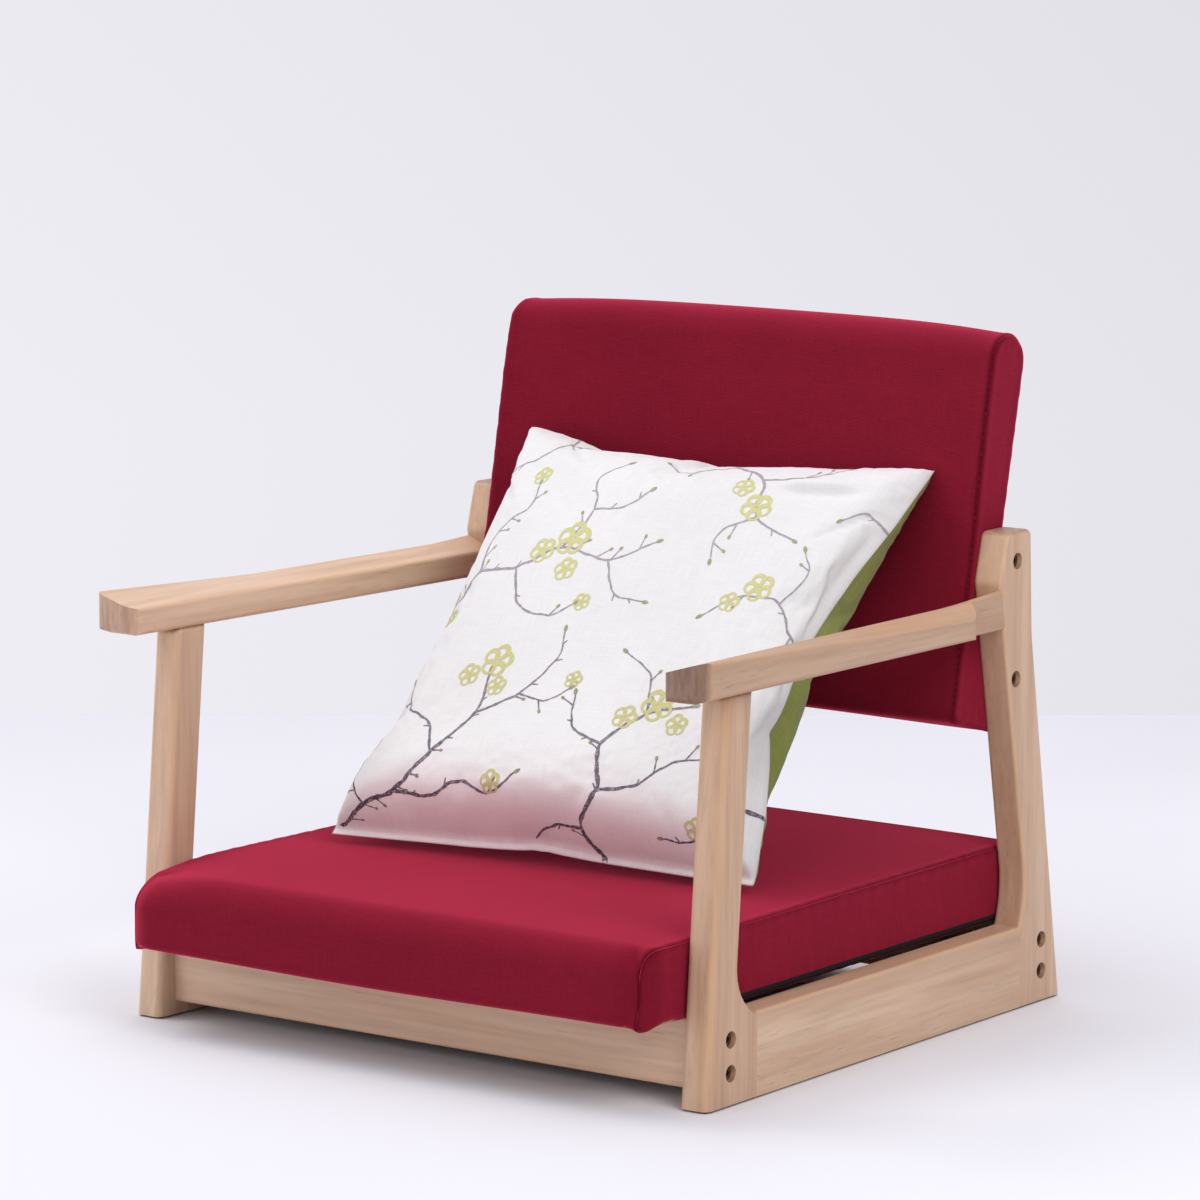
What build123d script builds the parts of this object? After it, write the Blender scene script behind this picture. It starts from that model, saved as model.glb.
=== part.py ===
from build123d import *
import os
from math import cos, radians, sin, tan

# A legless floor chair with armrests: two bolted side frames, a seat pad, a padded back and a
# loose throw cushion. Millimetres, +Z up, the front faces -Y, and the origin is at the middle
# of the floor under the chair. The side frames toe in towards the rear.

# ---------------------------------------------------------------- side frames
frame_width = 560.0          # across the outer faces of the front feet
frame_length = 504.0         # front foot to rear foot, along the side frame
toe_in = 1.77                # degrees that each side frame turns in towards the rear
post_thickness = 26.0
felt_thickness = 1.5
felt_inset = 3.0
rail_top = 66.0
long_edge_radius = 3.5
front_edge_radius = 6.5

front_post_lean = 5.0        # degrees back from vertical
front_post_depth = 32.0
front_foot_length = 66.0
front_flare_height = 40.0    # above the rail, where the foot starts to widen

rear_post_height = 385.0
rear_foot_length = 62.0
rear_post_splay = 8.93       # degrees, the rear edge below the bend
rear_post_bend = 300.0       # height of the bend in the rear edge
rear_post_top_depth = 35.5
rear_post_top_back = 50.5    # top rear corner, forward of the rear foot
rear_post_knee = (96.5, 346.0)   # forward of the rear foot, height
rear_post_shin = (56.5, 118.0)   # forward of the rear foot, height
rear_flare_bulge = 6.5
knee_radius = 12.0
bend_radius = 90.0
post_top_radius = 6.0

# ---------------------------------------------------------------- armrests
arm_underside = 309.0
arm_nose = 26.0              # forward of the front foot
arm_overhang = 16.5          # past the outer face of the posts
arm_outer_front = 33.0       # height of the outer edge at the front
arm_outer_rear = 17.0        # height of the outer edge at the shoulder
arm_ridge = 28.6             # height over the outer face of the posts
arm_inner_edge = 21.0
arm_lift_front = 4.5         # of the outer lower edge over the underside, at the front
arm_lift_rear = 1.0          # and at the shoulder
arm_neck_height = 35.5       # height of the outer edge of the neck at the rear post
arm_shoulder_gap = 48.0      # rear end of the shoulder, forward of the rear post
arm_shoulder_length = 26.0
arm_shoulder_bulge = 4.0
arm_edge_radius = 3.2
arm_bottom_radius = 8.0      # of the outer lower edge
arm_plan_radius = 13.0
arm_nose_bottom_radius = 8.0

# ---------------------------------------------------------------- cross rails
front_rail_recess = 18.0
rear_rail_inset = 16.5       # rear face of the rear rail, forward of the rear foot
rail_depth = 26.0
rail_bottom = 12.0
rail_edge_radius = 2.5

# ---------------------------------------------------------------- fasteners
bolt_heights = (25.5, 51.0)
bolt_radius = 3.0
bolt_length = 62.0
bolt_head_radius = 6.0
bolt_head_height = 5.0
bolt_recess = 3.5
bolt_bore_radius = 6.6
bolt_head_chamfer = 0.8
bolt_clearance = 0.4
socket_radius = 2.9
socket_depth = 3.0
nut_radius = 5.0
nut_length = 16.0
nut_from_post = 26.0
back_bolt_spots = ((72.0, 361.5), (72.5, 267.5))   # forward of the rear foot, height
back_bolt_length = 38.0
insert_radius = 4.5
insert_length = 15.0
insert_gap = 0.4
dowel_radius = 4.0
dowel_half = 17.0
dowel_heights = (20.0, 48.0)
arm_dowel_half = 15.0
arm_dowel_spacing = 14.0
neck_dowel_radius = 3.0
neck_dowel_half = 14.0
neck_dowel_heights = (316.5, 328.5)
screw_radius = 2.2
screw_head_radius = 4.5
screw_head_height = 3.0
screw_bite = 10.0
screw_bore_depth = 24.0
screw_bore_radius = 5.5
screw_spacing = 300.0

# ---------------------------------------------------------------- seat pad
seat_overhang = 46.0         # forward of the front feet
seat_rear_inset = 18.0       # forward of the rear foot
seat_gap = 1.0               # to the inner face of each post
cloth_thickness = 0.8
cloth_inset = 9.0
cover_thickness = 1.5
hem_width = 20.0
board_thickness = 12.0
seat_thickness = 60.0
seat_crown = 3.0
seat_front_radius = 22.0
seat_rear_radius = 10.0
seat_bottom_radius = 5.0
seat_corner_radius = 28.0
seat_rear_corner_radius = 8.0

# ---------------------------------------------------------------- back
back_gap = 0.0               # the back is clamped against the posts
back_hollow = 14.0           # how far the middle sits behind the sides
back_half_span = 240.0
# The side outline of the back: forward of the rear foot, height above the floor.
back_bottom_front = (126.0, 238.0)
back_lumbar = (100.0, 361.0)
back_shoulder = (78.0, 485.0)
back_top_front = (66.5, 540.0)
back_top_rear = (16.5, 540.0)
back_waist = (52.0, 382.0)
back_heel = (58.0, 340.0)
back_bottom_rear = (58.0, 218.0)
back_top_radius = 23.0
back_bottom_radius = 9.0
back_bend_radius = 150.0
rear_padding = 4.0
stile_width = 24.0
stile_depth = 27.0
stile_margin = 14.0
panel_thickness = 6.0

# ---------------------------------------------------------------- staples
staple_width = 10.0
staple_wire = 1.0
staple_leg = 8.0
staple_inset = 14.0          # from the edge of the seat
staple_pitch = 72.0
staples_along_front = 6
staples_along_side = 5

# ---------------------------------------------------------------- loose cushion
cushion_lean = 50.5          # degrees from the floor
cushion_turn = 3.5           # degrees about the vertical
cushion_side = -1.0          # sideways, middle of the cushion
cushion_ahead = 222.5        # middle of the cushion, forward of the rear foot
cushion_rise = 0.3           # clear of the seat
cushion_skin = 1.2
cushion_skin_side = 1.8      # at the sides of each ring
zip_length = 290.0
zip_band = (1.5, 5.5)        # behind the seam
zip_share = 0.6              # of the thickness of the skin
# Each ring of a half: height over the seam, width of the ring, bulge of its sides.
cushion_rings = (
    (0.0, 392.0, -10.0),
    (17.0, 354.0, -2.0),
    (35.0, 282.0, 18.0),
    (48.0, 190.0, 26.0),
    (55.0, 90.0, 16.0),
)

# ---------------------------------------------------------------- derived places
toe = radians(toe_in)
front_y = (seat_overhang - frame_length * cos(toe)) / 2
side = Plane(
    origin=(frame_width / 2, front_y, 0),
    x_dir=(-sin(toe), cos(toe), 0),
    z_dir=(cos(toe), sin(toe), 0),
)
bolt_front = front_rail_recess + rail_depth / 2
bolt_rear = frame_length - rear_rail_inset - rail_depth / 2
rail_bolt_spots = [(along, height) for along in (bolt_front, bolt_rear) for height in bolt_heights]
back_bolts_at = [(frame_length - forward, height) for forward, height in back_bolt_spots]
rear_joint = frame_length - rear_foot_length
mid_post = -post_thickness / 2
seat_bottom = rail_top + cloth_thickness
seat_top = seat_bottom + seat_thickness
rear_y = front_y + frame_length * cos(toe)
seat_front_y = front_y - seat_overhang
seat_rear_y = rear_y - seat_rear_inset
board_bottom = seat_bottom + cover_thickness
stile_depth_start = post_thickness + back_gap + cover_thickness


def cross_plane(along):
    """The upright plane across the right side frame: x runs outwards, y runs up."""
    return Plane(origin=side.from_local_coords((along, 0, 0)), x_dir=side.z_dir, z_dir=-side.x_dir)


def level_plane(height):
    """The level plane at a height: x runs back along the right side frame, y runs inwards."""
    return Plane(origin=side.from_local_coords((0, height, 0)), x_dir=side.x_dir, z_dir=(0, 0, 1))


def on_side(along, height, depth=0.0):
    """A location on the right outer face, or at a depth under it, facing outwards."""
    return side.location * Location((along, height, -depth))


def inner_half_width(y, gap):
    """Half the clear width between the side frames at y, less a gap on each side."""
    return frame_width / 2 - (y - front_y) * tan(toe) - (post_thickness + gap) / cos(toe)


def plan_outline(y_front, y_rear, gap):
    """Corners of a plan that fits between the side frames."""
    front, rear = inner_half_width(y_front, gap), inner_half_width(y_rear, gap)
    return [(-front, y_front), (front, y_front), (rear, y_rear), (-rear, y_rear)]


def front_post_front(height):
    return height * tan(radians(front_post_lean))


def rear_post_rear(height):
    return frame_length - height * tan(radians(rear_post_splay))


def rear_post_front(height):
    """The front edge of the rear post between the shin and the knee."""
    (knee, knee_z), (shin, shin_z) = rear_post_knee, rear_post_shin
    return frame_length - knee + (knee_z - height) * (knee - shin) / (knee_z - shin_z)


def keep(node, name):
    """Label a finished piece and write it."""
    node.part.label = name
    export_step(node.part, f"parts/{name}.step")


def keep_pair(node, name):
    """Write a piece of the right side and its mirror image."""
    keep(node, f"{name}_right")
    with BuildPart() as mirrored:
        mirror(node.part, about=Plane.YZ)
    keep(mirrored, f"{name}_left")


def long_edges(node):
    """Edges of the outer and inner faces of a piece of the side frame."""
    return node.faces().filter_by(Axis(side.origin, side.z_dir), tolerance=0.1).edges()


def near(edges, along_low, along_high, height_low, height_high):
    """The edges whose middle lies in a window of the side frame."""
    chosen = ShapeList()
    for edge in edges:
        spot = side.to_local_coords(edge @ 0.5)
        if along_low <= spot.X <= along_high and height_low <= spot.Y <= height_high:
            chosen.append(edge)
    return chosen


def drill_bolts(spots):
    """Counterbored holes for bolts through a post."""
    with Locations(*[on_side(along, height) for along, height in spots]):
        CounterBoreHole(
            radius=bolt_radius + bolt_clearance,
            counter_bore_radius=bolt_bore_radius,
            counter_bore_depth=bolt_recess + bolt_head_height,
            depth=post_thickness,
        )


def bore_dowels(plane, spots, radius, half_length):
    """Blind dowel bores, as far to each side of the plane as the dowel is."""
    with BuildSketch(plane) as bores:
        with Locations(*spots):
            Circle(radius)
    extrude(bores.sketch, amount=half_length, both=True, mode=Mode.SUBTRACT)


os.makedirs("parts", exist_ok=True)

rail_dowel_spots = [(mid_post, height) for height in dowel_heights]
neck_dowel_spots = [(mid_post, height) for height in neck_dowel_heights]
arm_post_middle = front_post_front(arm_underside) + front_post_depth / 2
arm_dowel_spots = [
    (arm_post_middle - arm_dowel_spacing / 2, -mid_post),
    (arm_post_middle + arm_dowel_spacing / 2, -mid_post),
]
neck_joint = rear_post_front(arm_underside + arm_neck_height / 2)

# ---------------------------------------------------------------- front posts
flare_top = rail_top + front_flare_height
lean_direction = (-sin(radians(front_post_lean)), -cos(radians(front_post_lean)))
with BuildPart() as front_post:
    with BuildSketch(side):
        with BuildLine():
            Polyline(
                (front_foot_length, rail_top),
                (front_foot_length, felt_thickness),
                (0, felt_thickness),
                (front_post_front(arm_underside), arm_underside),
                (front_post_front(arm_underside) + front_post_depth, arm_underside),
                (front_post_front(flare_top) + front_post_depth, flare_top),
            )
            TangentArc(
                (front_post_front(flare_top) + front_post_depth, flare_top),
                (front_foot_length, rail_top),
                tangent=lean_direction,
            )
        make_face()
    extrude(amount=-post_thickness)
    rear_edges = near(long_edges(front_post), front_post_depth, front_foot_length, rail_top, arm_underside)
    fillet(rear_edges, long_edge_radius)
    front_edges = near(long_edges(front_post), 0, front_post_depth / 2, rail_top, arm_underside)
    fillet(front_edges, front_edge_radius)
    drill_bolts(rail_bolt_spots[:2])
    bore_dowels(cross_plane(front_foot_length), rail_dowel_spots, dowel_radius, dowel_half)
    bore_dowels(level_plane(arm_underside), arm_dowel_spots, dowel_radius, arm_dowel_half)
keep_pair(front_post, "front_post")

# ---------------------------------------------------------------- rear posts
knee_spot = (frame_length - rear_post_knee[0], rear_post_knee[1])
shin_spot = (frame_length - rear_post_shin[0], rear_post_shin[1])
bend_spot = (rear_post_rear(rear_post_bend), rear_post_bend)
flare_spot = (rear_joint + rear_flare_bulge, (rail_top + rear_post_shin[1]) / 2)
with BuildPart() as rear_post:
    with BuildSketch(side):
        with BuildLine():
            Polyline(
                (rear_joint, rail_top),
                (rear_joint, felt_thickness),
                (rear_post_rear(felt_thickness), felt_thickness),
                bend_spot,
                (frame_length - rear_post_top_back, rear_post_height),
                (frame_length - rear_post_top_back - rear_post_top_depth, rear_post_height),
                knee_spot,
                shin_spot,
            )
            ThreePointArc(shin_spot, flare_spot, (rear_joint, rail_top))
        make_face()
        fillet(vertices().sort_by(Axis.Y)[-2:], post_top_radius)
        fillet(vertices().sort_by_distance(knee_spot)[0], knee_radius)
        fillet(vertices().sort_by_distance(bend_spot)[0], bend_radius)
    extrude(amount=-post_thickness)
    lowest = rear_joint - rear_foot_length
    upper_edges = near(long_edges(rear_post), lowest, frame_length, rail_top, rear_post_height)
    fillet(upper_edges, long_edge_radius)
    drill_bolts(rail_bolt_spots[2:])
    drill_bolts(back_bolts_at)
    bore_dowels(cross_plane(rear_joint), rail_dowel_spots, dowel_radius, dowel_half)
    bore_dowels(cross_plane(neck_joint), neck_dowel_spots, neck_dowel_radius, neck_dowel_half)
keep_pair(rear_post, "rear_post")

# ---------------------------------------------------------------- side rails
with BuildPart() as side_rail:
    with BuildSketch(side):
        with Locations((front_foot_length, felt_thickness)):
            Rectangle(
                rear_joint - front_foot_length,
                rail_top - felt_thickness,
                align=(Align.MIN, Align.MIN),
            )
    extrude(amount=-post_thickness)
    top_edges = near(long_edges(side_rail), front_foot_length, rear_joint, rail_top - 1, rail_top)
    fillet(top_edges, long_edge_radius)
    bore_dowels(cross_plane(front_foot_length), rail_dowel_spots, dowel_radius, dowel_half)
    bore_dowels(cross_plane(rear_joint), rail_dowel_spots, dowel_radius, dowel_half)
keep_pair(side_rail, "side_rail")

# ---------------------------------------------------------------- armrests
shoulder_end = neck_joint - arm_shoulder_gap
neck_end = neck_joint + arm_neck_height
neck_low = arm_underside - arm_neck_height
neck_high = arm_underside + 2 * arm_neck_height


def arm_section(outer, lift):
    """Section of an armrest: heights of its outer upper and lower edges over the underside."""
    low_corner = (arm_overhang, arm_underside + lift)
    corners = [
        (arm_overhang, arm_underside + outer),
        (0, arm_underside + arm_ridge),
        (-post_thickness, arm_underside + arm_inner_edge),
        (-post_thickness, arm_underside),
    ]
    Polygon((0, arm_underside), low_corner, *corners, align=None)
    fillet([vertices().sort_by_distance(corner)[0] for corner in corners], arm_edge_radius)
    fillet(vertices().sort_by_distance(low_corner)[0], arm_bottom_radius)


def neck_section(outer, inner):
    """Section of the neck of an armrest, as wide as the post."""
    Polygon(
        (-post_thickness, arm_underside),
        (0, arm_underside),
        (0, arm_underside + outer),
        (-post_thickness, arm_underside + inner),
        align=None,
    )
    fillet(vertices(), arm_edge_radius)


with BuildPart() as armrest:
    with BuildSketch(cross_plane(-arm_nose)):
        arm_section(arm_outer_front, arm_lift_front)
    with BuildSketch(cross_plane(shoulder_end)):
        arm_section(arm_outer_rear, arm_lift_rear)
    loft(ruled=True)
    with BuildSketch(level_plane(arm_underside - 1)):
        with BuildLine():
            SagittaArc(
                (shoulder_end - arm_shoulder_length, -arm_overhang),
                (shoulder_end, 0),
                -arm_shoulder_bulge,
            )
            Polyline(
                (shoulder_end, 0),
                (shoulder_end + arm_overhang, 0),
                (shoulder_end + arm_overhang, -2 * arm_overhang),
                (shoulder_end - arm_shoulder_length, -2 * arm_overhang),
                (shoulder_end - arm_shoulder_length, -arm_overhang),
            )
        make_face()
    extrude(amount=2 * arm_outer_front, mode=Mode.SUBTRACT)
    with BuildSketch(cross_plane(shoulder_end - arm_shoulder_length)):
        neck_section(arm_ridge, arm_inner_edge)
    with BuildSketch(cross_plane(neck_end)):
        neck_section(arm_neck_height, arm_inner_edge)
    loft(ruled=True)
    with BuildSketch(side):
        Polygon(
            (rear_post_front(neck_low), neck_low),
            (rear_post_front(neck_high), neck_high),
            (neck_end + arm_neck_height, neck_high),
            (neck_end + arm_neck_height, neck_low),
            align=None,
        )
    extrude(amount=-post_thickness, mode=Mode.SUBTRACT)
    with BuildSketch(level_plane(arm_underside - 1)):
        with Locations((-arm_nose, -arm_overhang)):
            Rectangle(
                neck_end + arm_nose,
                post_thickness + arm_overhang,
                align=(Align.MIN, Align.MIN),
            )
        fillet(vertices().sort_by_distance((-arm_nose, -arm_overhang))[0], arm_plan_radius)
        fillet(vertices().sort_by_distance((-arm_nose, post_thickness))[0], arm_plan_radius)
    extrude(amount=2 * arm_outer_front, mode=Mode.INTERSECT)
    with BuildSketch(side.offset(arm_overhang)):
        with Locations((-arm_nose, arm_underside)):
            Rectangle(neck_end + arm_nose, 2 * arm_outer_front, align=(Align.MIN, Align.MIN))
        fillet(vertices().sort_by_distance((-arm_nose, arm_underside))[0], arm_nose_bottom_radius)
    extrude(amount=-(arm_overhang + post_thickness), mode=Mode.INTERSECT)
    bore_dowels(level_plane(arm_underside), arm_dowel_spots, dowel_radius, arm_dowel_half)
    bore_dowels(cross_plane(neck_joint), neck_dowel_spots, neck_dowel_radius, neck_dowel_half)
keep_pair(armrest, "armrest")

# ---------------------------------------------------------------- cross rails
def cross_rail_block(along):
    """A level bar between the side frames, centred on a distance along them."""
    y_middle = front_y + along * cos(toe)
    Polygon(*plan_outline(y_middle - rail_depth / 2, y_middle + rail_depth / 2, 0), align=None)


def bore_rail_end(along, towards_rear):
    """Bores in the right end of a cross rail: two bolts, and their nuts from the hidden face."""
    with Locations(*[on_side(along, height) for height in bolt_heights]):
        Cylinder(
            bolt_radius + bolt_clearance,
            bolt_recess + bolt_length + bolt_clearance,
            align=(Align.CENTER, Align.CENTER, Align.MAX),
            mode=Mode.SUBTRACT,
        )
    with BuildSketch(cross_plane(along + towards_rear * (rail_depth / 2 + nut_radius))) as bores:
        with Locations(*[(-post_thickness - nut_from_post, height) for height in bolt_heights]):
            Circle(nut_radius)
    reach = rail_depth / 2 + nut_radius + nut_length / 2
    extrude(bores.sketch, amount=towards_rear * reach, mode=Mode.SUBTRACT)


def bore_screws(along, radius, z_low, z_high):
    """Upright bores through a cross rail and the seat."""
    y = front_y + along * cos(toe)
    with Locations((-screw_spacing / 2, y, z_low), (screw_spacing / 2, y, z_low)):
        Cylinder(
            radius,
            z_high - z_low,
            align=(Align.CENTER, Align.CENTER, Align.MIN),
            mode=Mode.SUBTRACT,
        )


screw_seat = rail_bottom + screw_bore_depth
screw_tip = board_bottom + screw_bite

with BuildPart() as front_rail:
    with BuildSketch(Plane.XY.offset(rail_bottom)):
        cross_rail_block(bolt_front)
    extrude(amount=rail_top - rail_bottom)
    fillet(edges().filter_by(Axis.X), rail_edge_radius)
    bore_rail_end(bolt_front, 1)
    mirror(about=Plane.YZ, mode=Mode.INTERSECT)
    bore_screws(bolt_front, screw_bore_radius, rail_bottom, screw_seat)
    bore_screws(bolt_front, screw_radius + bolt_clearance, rail_bottom, rail_top)
keep(front_rail, "front_rail")

with BuildPart() as rear_rail:
    with BuildSketch(Plane.XY.offset(rail_bottom)):
        cross_rail_block(bolt_rear)
    extrude(amount=rail_top - rail_bottom)
    fillet(edges().filter_by(Axis.X), rail_edge_radius)
    bore_rail_end(bolt_rear, -1)
    mirror(about=Plane.YZ, mode=Mode.INTERSECT)
    bore_screws(bolt_rear, screw_bore_radius, rail_bottom, screw_seat)
    bore_screws(bolt_rear, screw_radius + bolt_clearance, rail_bottom, rail_top)
keep(rear_rail, "rear_rail")


# ---------------------------------------------------------------- bolts and nuts
def bolts(spots, length):
    """Socket-head bolts on the right side, their heads sunk under the outer face."""
    heads = [on_side(along, height, bolt_recess) for along, height in spots]
    with Locations(*heads):
        Cylinder(bolt_head_radius, bolt_head_height, align=(Align.CENTER, Align.CENTER, Align.MAX))
    rims = ShapeList()
    for edge in edges():
        if side.to_local_coords(edge @ 0.5).Z > -bolt_recess - bolt_head_chamfer:
            rims.append(edge)
    chamfer(rims, bolt_head_chamfer)
    with Locations(*heads):
        Cylinder(bolt_radius, length, align=(Align.CENTER, Align.CENTER, Align.MAX))
    with BuildSketch(*[Plane(head) for head in heads]) as sockets:
        RegularPolygon(socket_radius, side_count=6)
    extrude(sockets.sketch, amount=-socket_depth, mode=Mode.SUBTRACT)


with BuildPart() as rail_bolts:
    bolts(rail_bolt_spots, bolt_length)
    mirror(about=Plane.YZ)
keep(rail_bolts, "rail_bolts")

with BuildPart() as back_bolts:
    bolts(back_bolts_at, back_bolt_length)
    mirror(about=Plane.YZ)
keep(back_bolts, "back_bolts")

with BuildPart() as barrel_nuts:
    for along in (bolt_front, bolt_rear):
        with BuildSketch(cross_plane(along)) as nut_ends:
            with Locations(*[(-post_thickness - nut_from_post, height) for height in bolt_heights]):
                Circle(nut_radius)
        extrude(nut_ends.sketch, amount=nut_length / 2, both=True)
    with Locations(*[on_side(along, height) for along, height in rail_bolt_spots]):
        Cylinder(
            bolt_radius,
            post_thickness + nut_from_post + 2 * nut_radius,
            align=(Align.CENTER, Align.CENTER, Align.MAX),
            mode=Mode.SUBTRACT,
        )
    mirror(about=Plane.YZ)
keep(barrel_nuts, "barrel_nuts")

insert_start = stile_depth_start + insert_gap
with BuildPart() as insert_nuts:
    with Locations(*[on_side(along, height, insert_start) for along, height in back_bolts_at]):
        Cylinder(insert_radius, insert_length, align=(Align.CENTER, Align.CENTER, Align.MAX))
        Cylinder(
            bolt_radius,
            insert_length,
            align=(Align.CENTER, Align.CENTER, Align.MAX),
            mode=Mode.SUBTRACT,
        )
    mirror(about=Plane.YZ)
keep(insert_nuts, "insert_nuts")

# ---------------------------------------------------------------- dowels and felt
with BuildPart() as rail_dowels:
    with BuildSketch(cross_plane(front_foot_length), cross_plane(rear_joint)):
        with Locations(*rail_dowel_spots):
            Circle(dowel_radius)
    extrude(amount=dowel_half, both=True)
    mirror(about=Plane.YZ)
keep(rail_dowels, "rail_dowels")

with BuildPart() as armrest_front_dowels:
    with BuildSketch(level_plane(arm_underside)):
        with Locations(*arm_dowel_spots):
            Circle(dowel_radius)
    extrude(amount=arm_dowel_half, both=True)
    mirror(about=Plane.YZ)
keep(armrest_front_dowels, "armrest_front_dowels")

with BuildPart() as armrest_rear_dowels:
    with BuildSketch(cross_plane(neck_joint)):
        with Locations(*neck_dowel_spots):
            Circle(neck_dowel_radius)
    extrude(amount=neck_dowel_half, both=True)
    mirror(about=Plane.YZ)
keep(armrest_rear_dowels, "armrest_rear_dowels")

with BuildPart() as felt_strip:
    with BuildSketch(level_plane(0)):
        with Locations((felt_inset, felt_inset)):
            Rectangle(
                frame_length - 2 * felt_inset,
                post_thickness - 2 * felt_inset,
                align=(Align.MIN, Align.MIN),
            )
    extrude(amount=felt_thickness)
keep_pair(felt_strip, "felt_strip")


# ---------------------------------------------------------------- seat pad
def seat_plan(inset):
    """The seat pad in plan, drawn in by an even inset."""
    _, front_corner, rear_corner, _ = plan_outline(seat_front_y, seat_rear_y, seat_gap)
    with BuildSketch(Plane.XY) as plan:
        Polygon((0, seat_front_y), front_corner, rear_corner, (0, seat_rear_y), align=None)
        fillet(plan.vertices().sort_by_distance(front_corner)[0], seat_corner_radius)
        fillet(plan.vertices().sort_by_distance(rear_corner)[0], seat_rear_corner_radius)
        mirror(about=Plane.YZ)
        offset(amount=-inset)
    return plan.sketch


def seat_body(inset):
    """The seat pad, drawn in by an even inset."""
    with BuildPart() as body:
        with BuildSketch(Plane.YZ) as outline:
            with BuildLine():
                Polyline(
                    (seat_front_y, seat_top),
                    (seat_front_y, seat_bottom),
                    (seat_rear_y, seat_bottom),
                    (seat_rear_y, seat_top),
                )
                ThreePointArc(
                    (seat_front_y, seat_top),
                    ((seat_front_y + seat_rear_y) / 2, seat_top + seat_crown),
                    (seat_rear_y, seat_top),
                )
            make_face()
            fillet(outline.vertices().sort_by_distance((seat_front_y, seat_top))[0], seat_front_radius)
            fillet(outline.vertices().sort_by_distance((seat_rear_y, seat_top))[0], seat_rear_radius)
            fillet(outline.vertices().group_by(Axis.Y)[0], seat_bottom_radius)
            offset(amount=-inset)
        extrude(amount=frame_width, both=True)
        extrude(seat_plan(inset), amount=2 * seat_top, mode=Mode.INTERSECT)
    return body.part


def seat_slab(inset, z_low, z_high):
    """A flat sheet as large as the plan of the seat, less an even inset."""
    with BuildPart() as slab:
        extrude(seat_plan(inset).moved(Location((0, 0, z_low))), amount=z_high - z_low)
    return slab.part


staple_leg_offset = (staple_width - staple_wire) / 2


def staple_spots():
    """Places and turns of the staples round the front and the sides of the seat underside."""
    spots = []
    for step in range(staples_along_front):
        x = (step - (staples_along_front - 1) / 2) * staple_pitch
        spots.append(Location((x, seat_front_y + staple_inset, rail_top), (0, 0, 0)))
    for step in range(staples_along_side):
        y = (step - (staples_along_side - 1) / 2) * staple_pitch
        x = inner_half_width(y, seat_gap) - staple_inset
        spots.append(Location((x, y, rail_top), (0, 0, 90)))
        spots.append(Location((-x, y, rail_top), (0, 0, 90)))
    return spots


with BuildPart() as seat_staples:
    with Locations(*staple_spots()):
        Box(staple_width, staple_wire, staple_wire, align=(Align.CENTER, Align.CENTER, Align.MAX))
        with Locations((-staple_leg_offset, 0, 0), (staple_leg_offset, 0, 0)):
            Box(staple_wire, staple_wire, staple_leg, align=(Align.CENTER, Align.CENTER, Align.MIN))
keep(seat_staples, "seat_staples")

with BuildPart() as seat_cover:
    add(seat_body(0))
    add(seat_body(cover_thickness), mode=Mode.SUBTRACT)
    add(seat_slab(hem_width, seat_bottom, board_bottom), mode=Mode.SUBTRACT)
    bore_screws(bolt_front, screw_radius + bolt_clearance, seat_bottom, board_bottom)
    bore_screws(bolt_rear, screw_radius + bolt_clearance, seat_bottom, board_bottom)
    add(seat_staples.part, mode=Mode.SUBTRACT)
keep(seat_cover, "seat_cover")

with BuildPart() as seat_dust_cloth:
    add(seat_slab(cloth_inset, rail_top, seat_bottom))
    bore_screws(bolt_front, screw_radius + bolt_clearance, rail_top, seat_bottom)
    bore_screws(bolt_rear, screw_radius + bolt_clearance, rail_top, seat_bottom)
    add(seat_staples.part, mode=Mode.SUBTRACT)
keep(seat_dust_cloth, "seat_dust_cloth")

with BuildPart() as seat_board:
    add(seat_body(cover_thickness))
    split(bisect_by=Plane.XY.offset(board_bottom + board_thickness), keep=Keep.BOTTOM)
    bore_screws(bolt_front, screw_radius, board_bottom, screw_tip)
    bore_screws(bolt_rear, screw_radius, board_bottom, screw_tip)
    add(seat_staples.part, mode=Mode.SUBTRACT)
keep(seat_board, "seat_board")

with BuildPart() as seat_foam:
    add(seat_body(cover_thickness))
    split(bisect_by=Plane.XY.offset(board_bottom + board_thickness), keep=Keep.TOP)
keep(seat_foam, "seat_foam")

with BuildPart() as seat_screws:
    for along in (bolt_front, bolt_rear):
        y = front_y + along * cos(toe)
        with Locations((-screw_spacing / 2, y, screw_seat), (screw_spacing / 2, y, screw_seat)):
            Cylinder(
                screw_head_radius,
                screw_head_height,
                align=(Align.CENTER, Align.CENTER, Align.MAX),
            )
            Cylinder(
                screw_radius,
                screw_tip - screw_seat,
                align=(Align.CENTER, Align.CENTER, Align.MIN),
            )
keep(seat_screws, "seat_screws")

# ---------------------------------------------------------------- back
back_arc_radius = (back_half_span**2 + back_hollow**2) / (2 * back_hollow)
back_axis_y = rear_y - back_waist[0] + back_hollow - back_arc_radius
back_sweep = toe_in + 8.0
back_axis = Axis((0, back_axis_y, 0), (0, 0, 1))
back_plane = Plane(
    origin=(0, back_axis_y, 0),
    x_dir=(sin(radians(back_sweep)), cos(radians(back_sweep)), 0),
    z_dir=(cos(radians(back_sweep)), -sin(radians(back_sweep)), 0),
)


def swung(spot):
    """A point of the side outline, set back to the middle of the chair, for the swept back."""
    forward, height = spot
    return (rear_y - forward + back_hollow - back_axis_y, height)


def back_prism(inset):
    """Plan of the clear width at the back, less an even inset at each side."""
    Polygon(*plan_outline(front_y, rear_y + frame_width, back_gap + inset), align=None)


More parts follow.
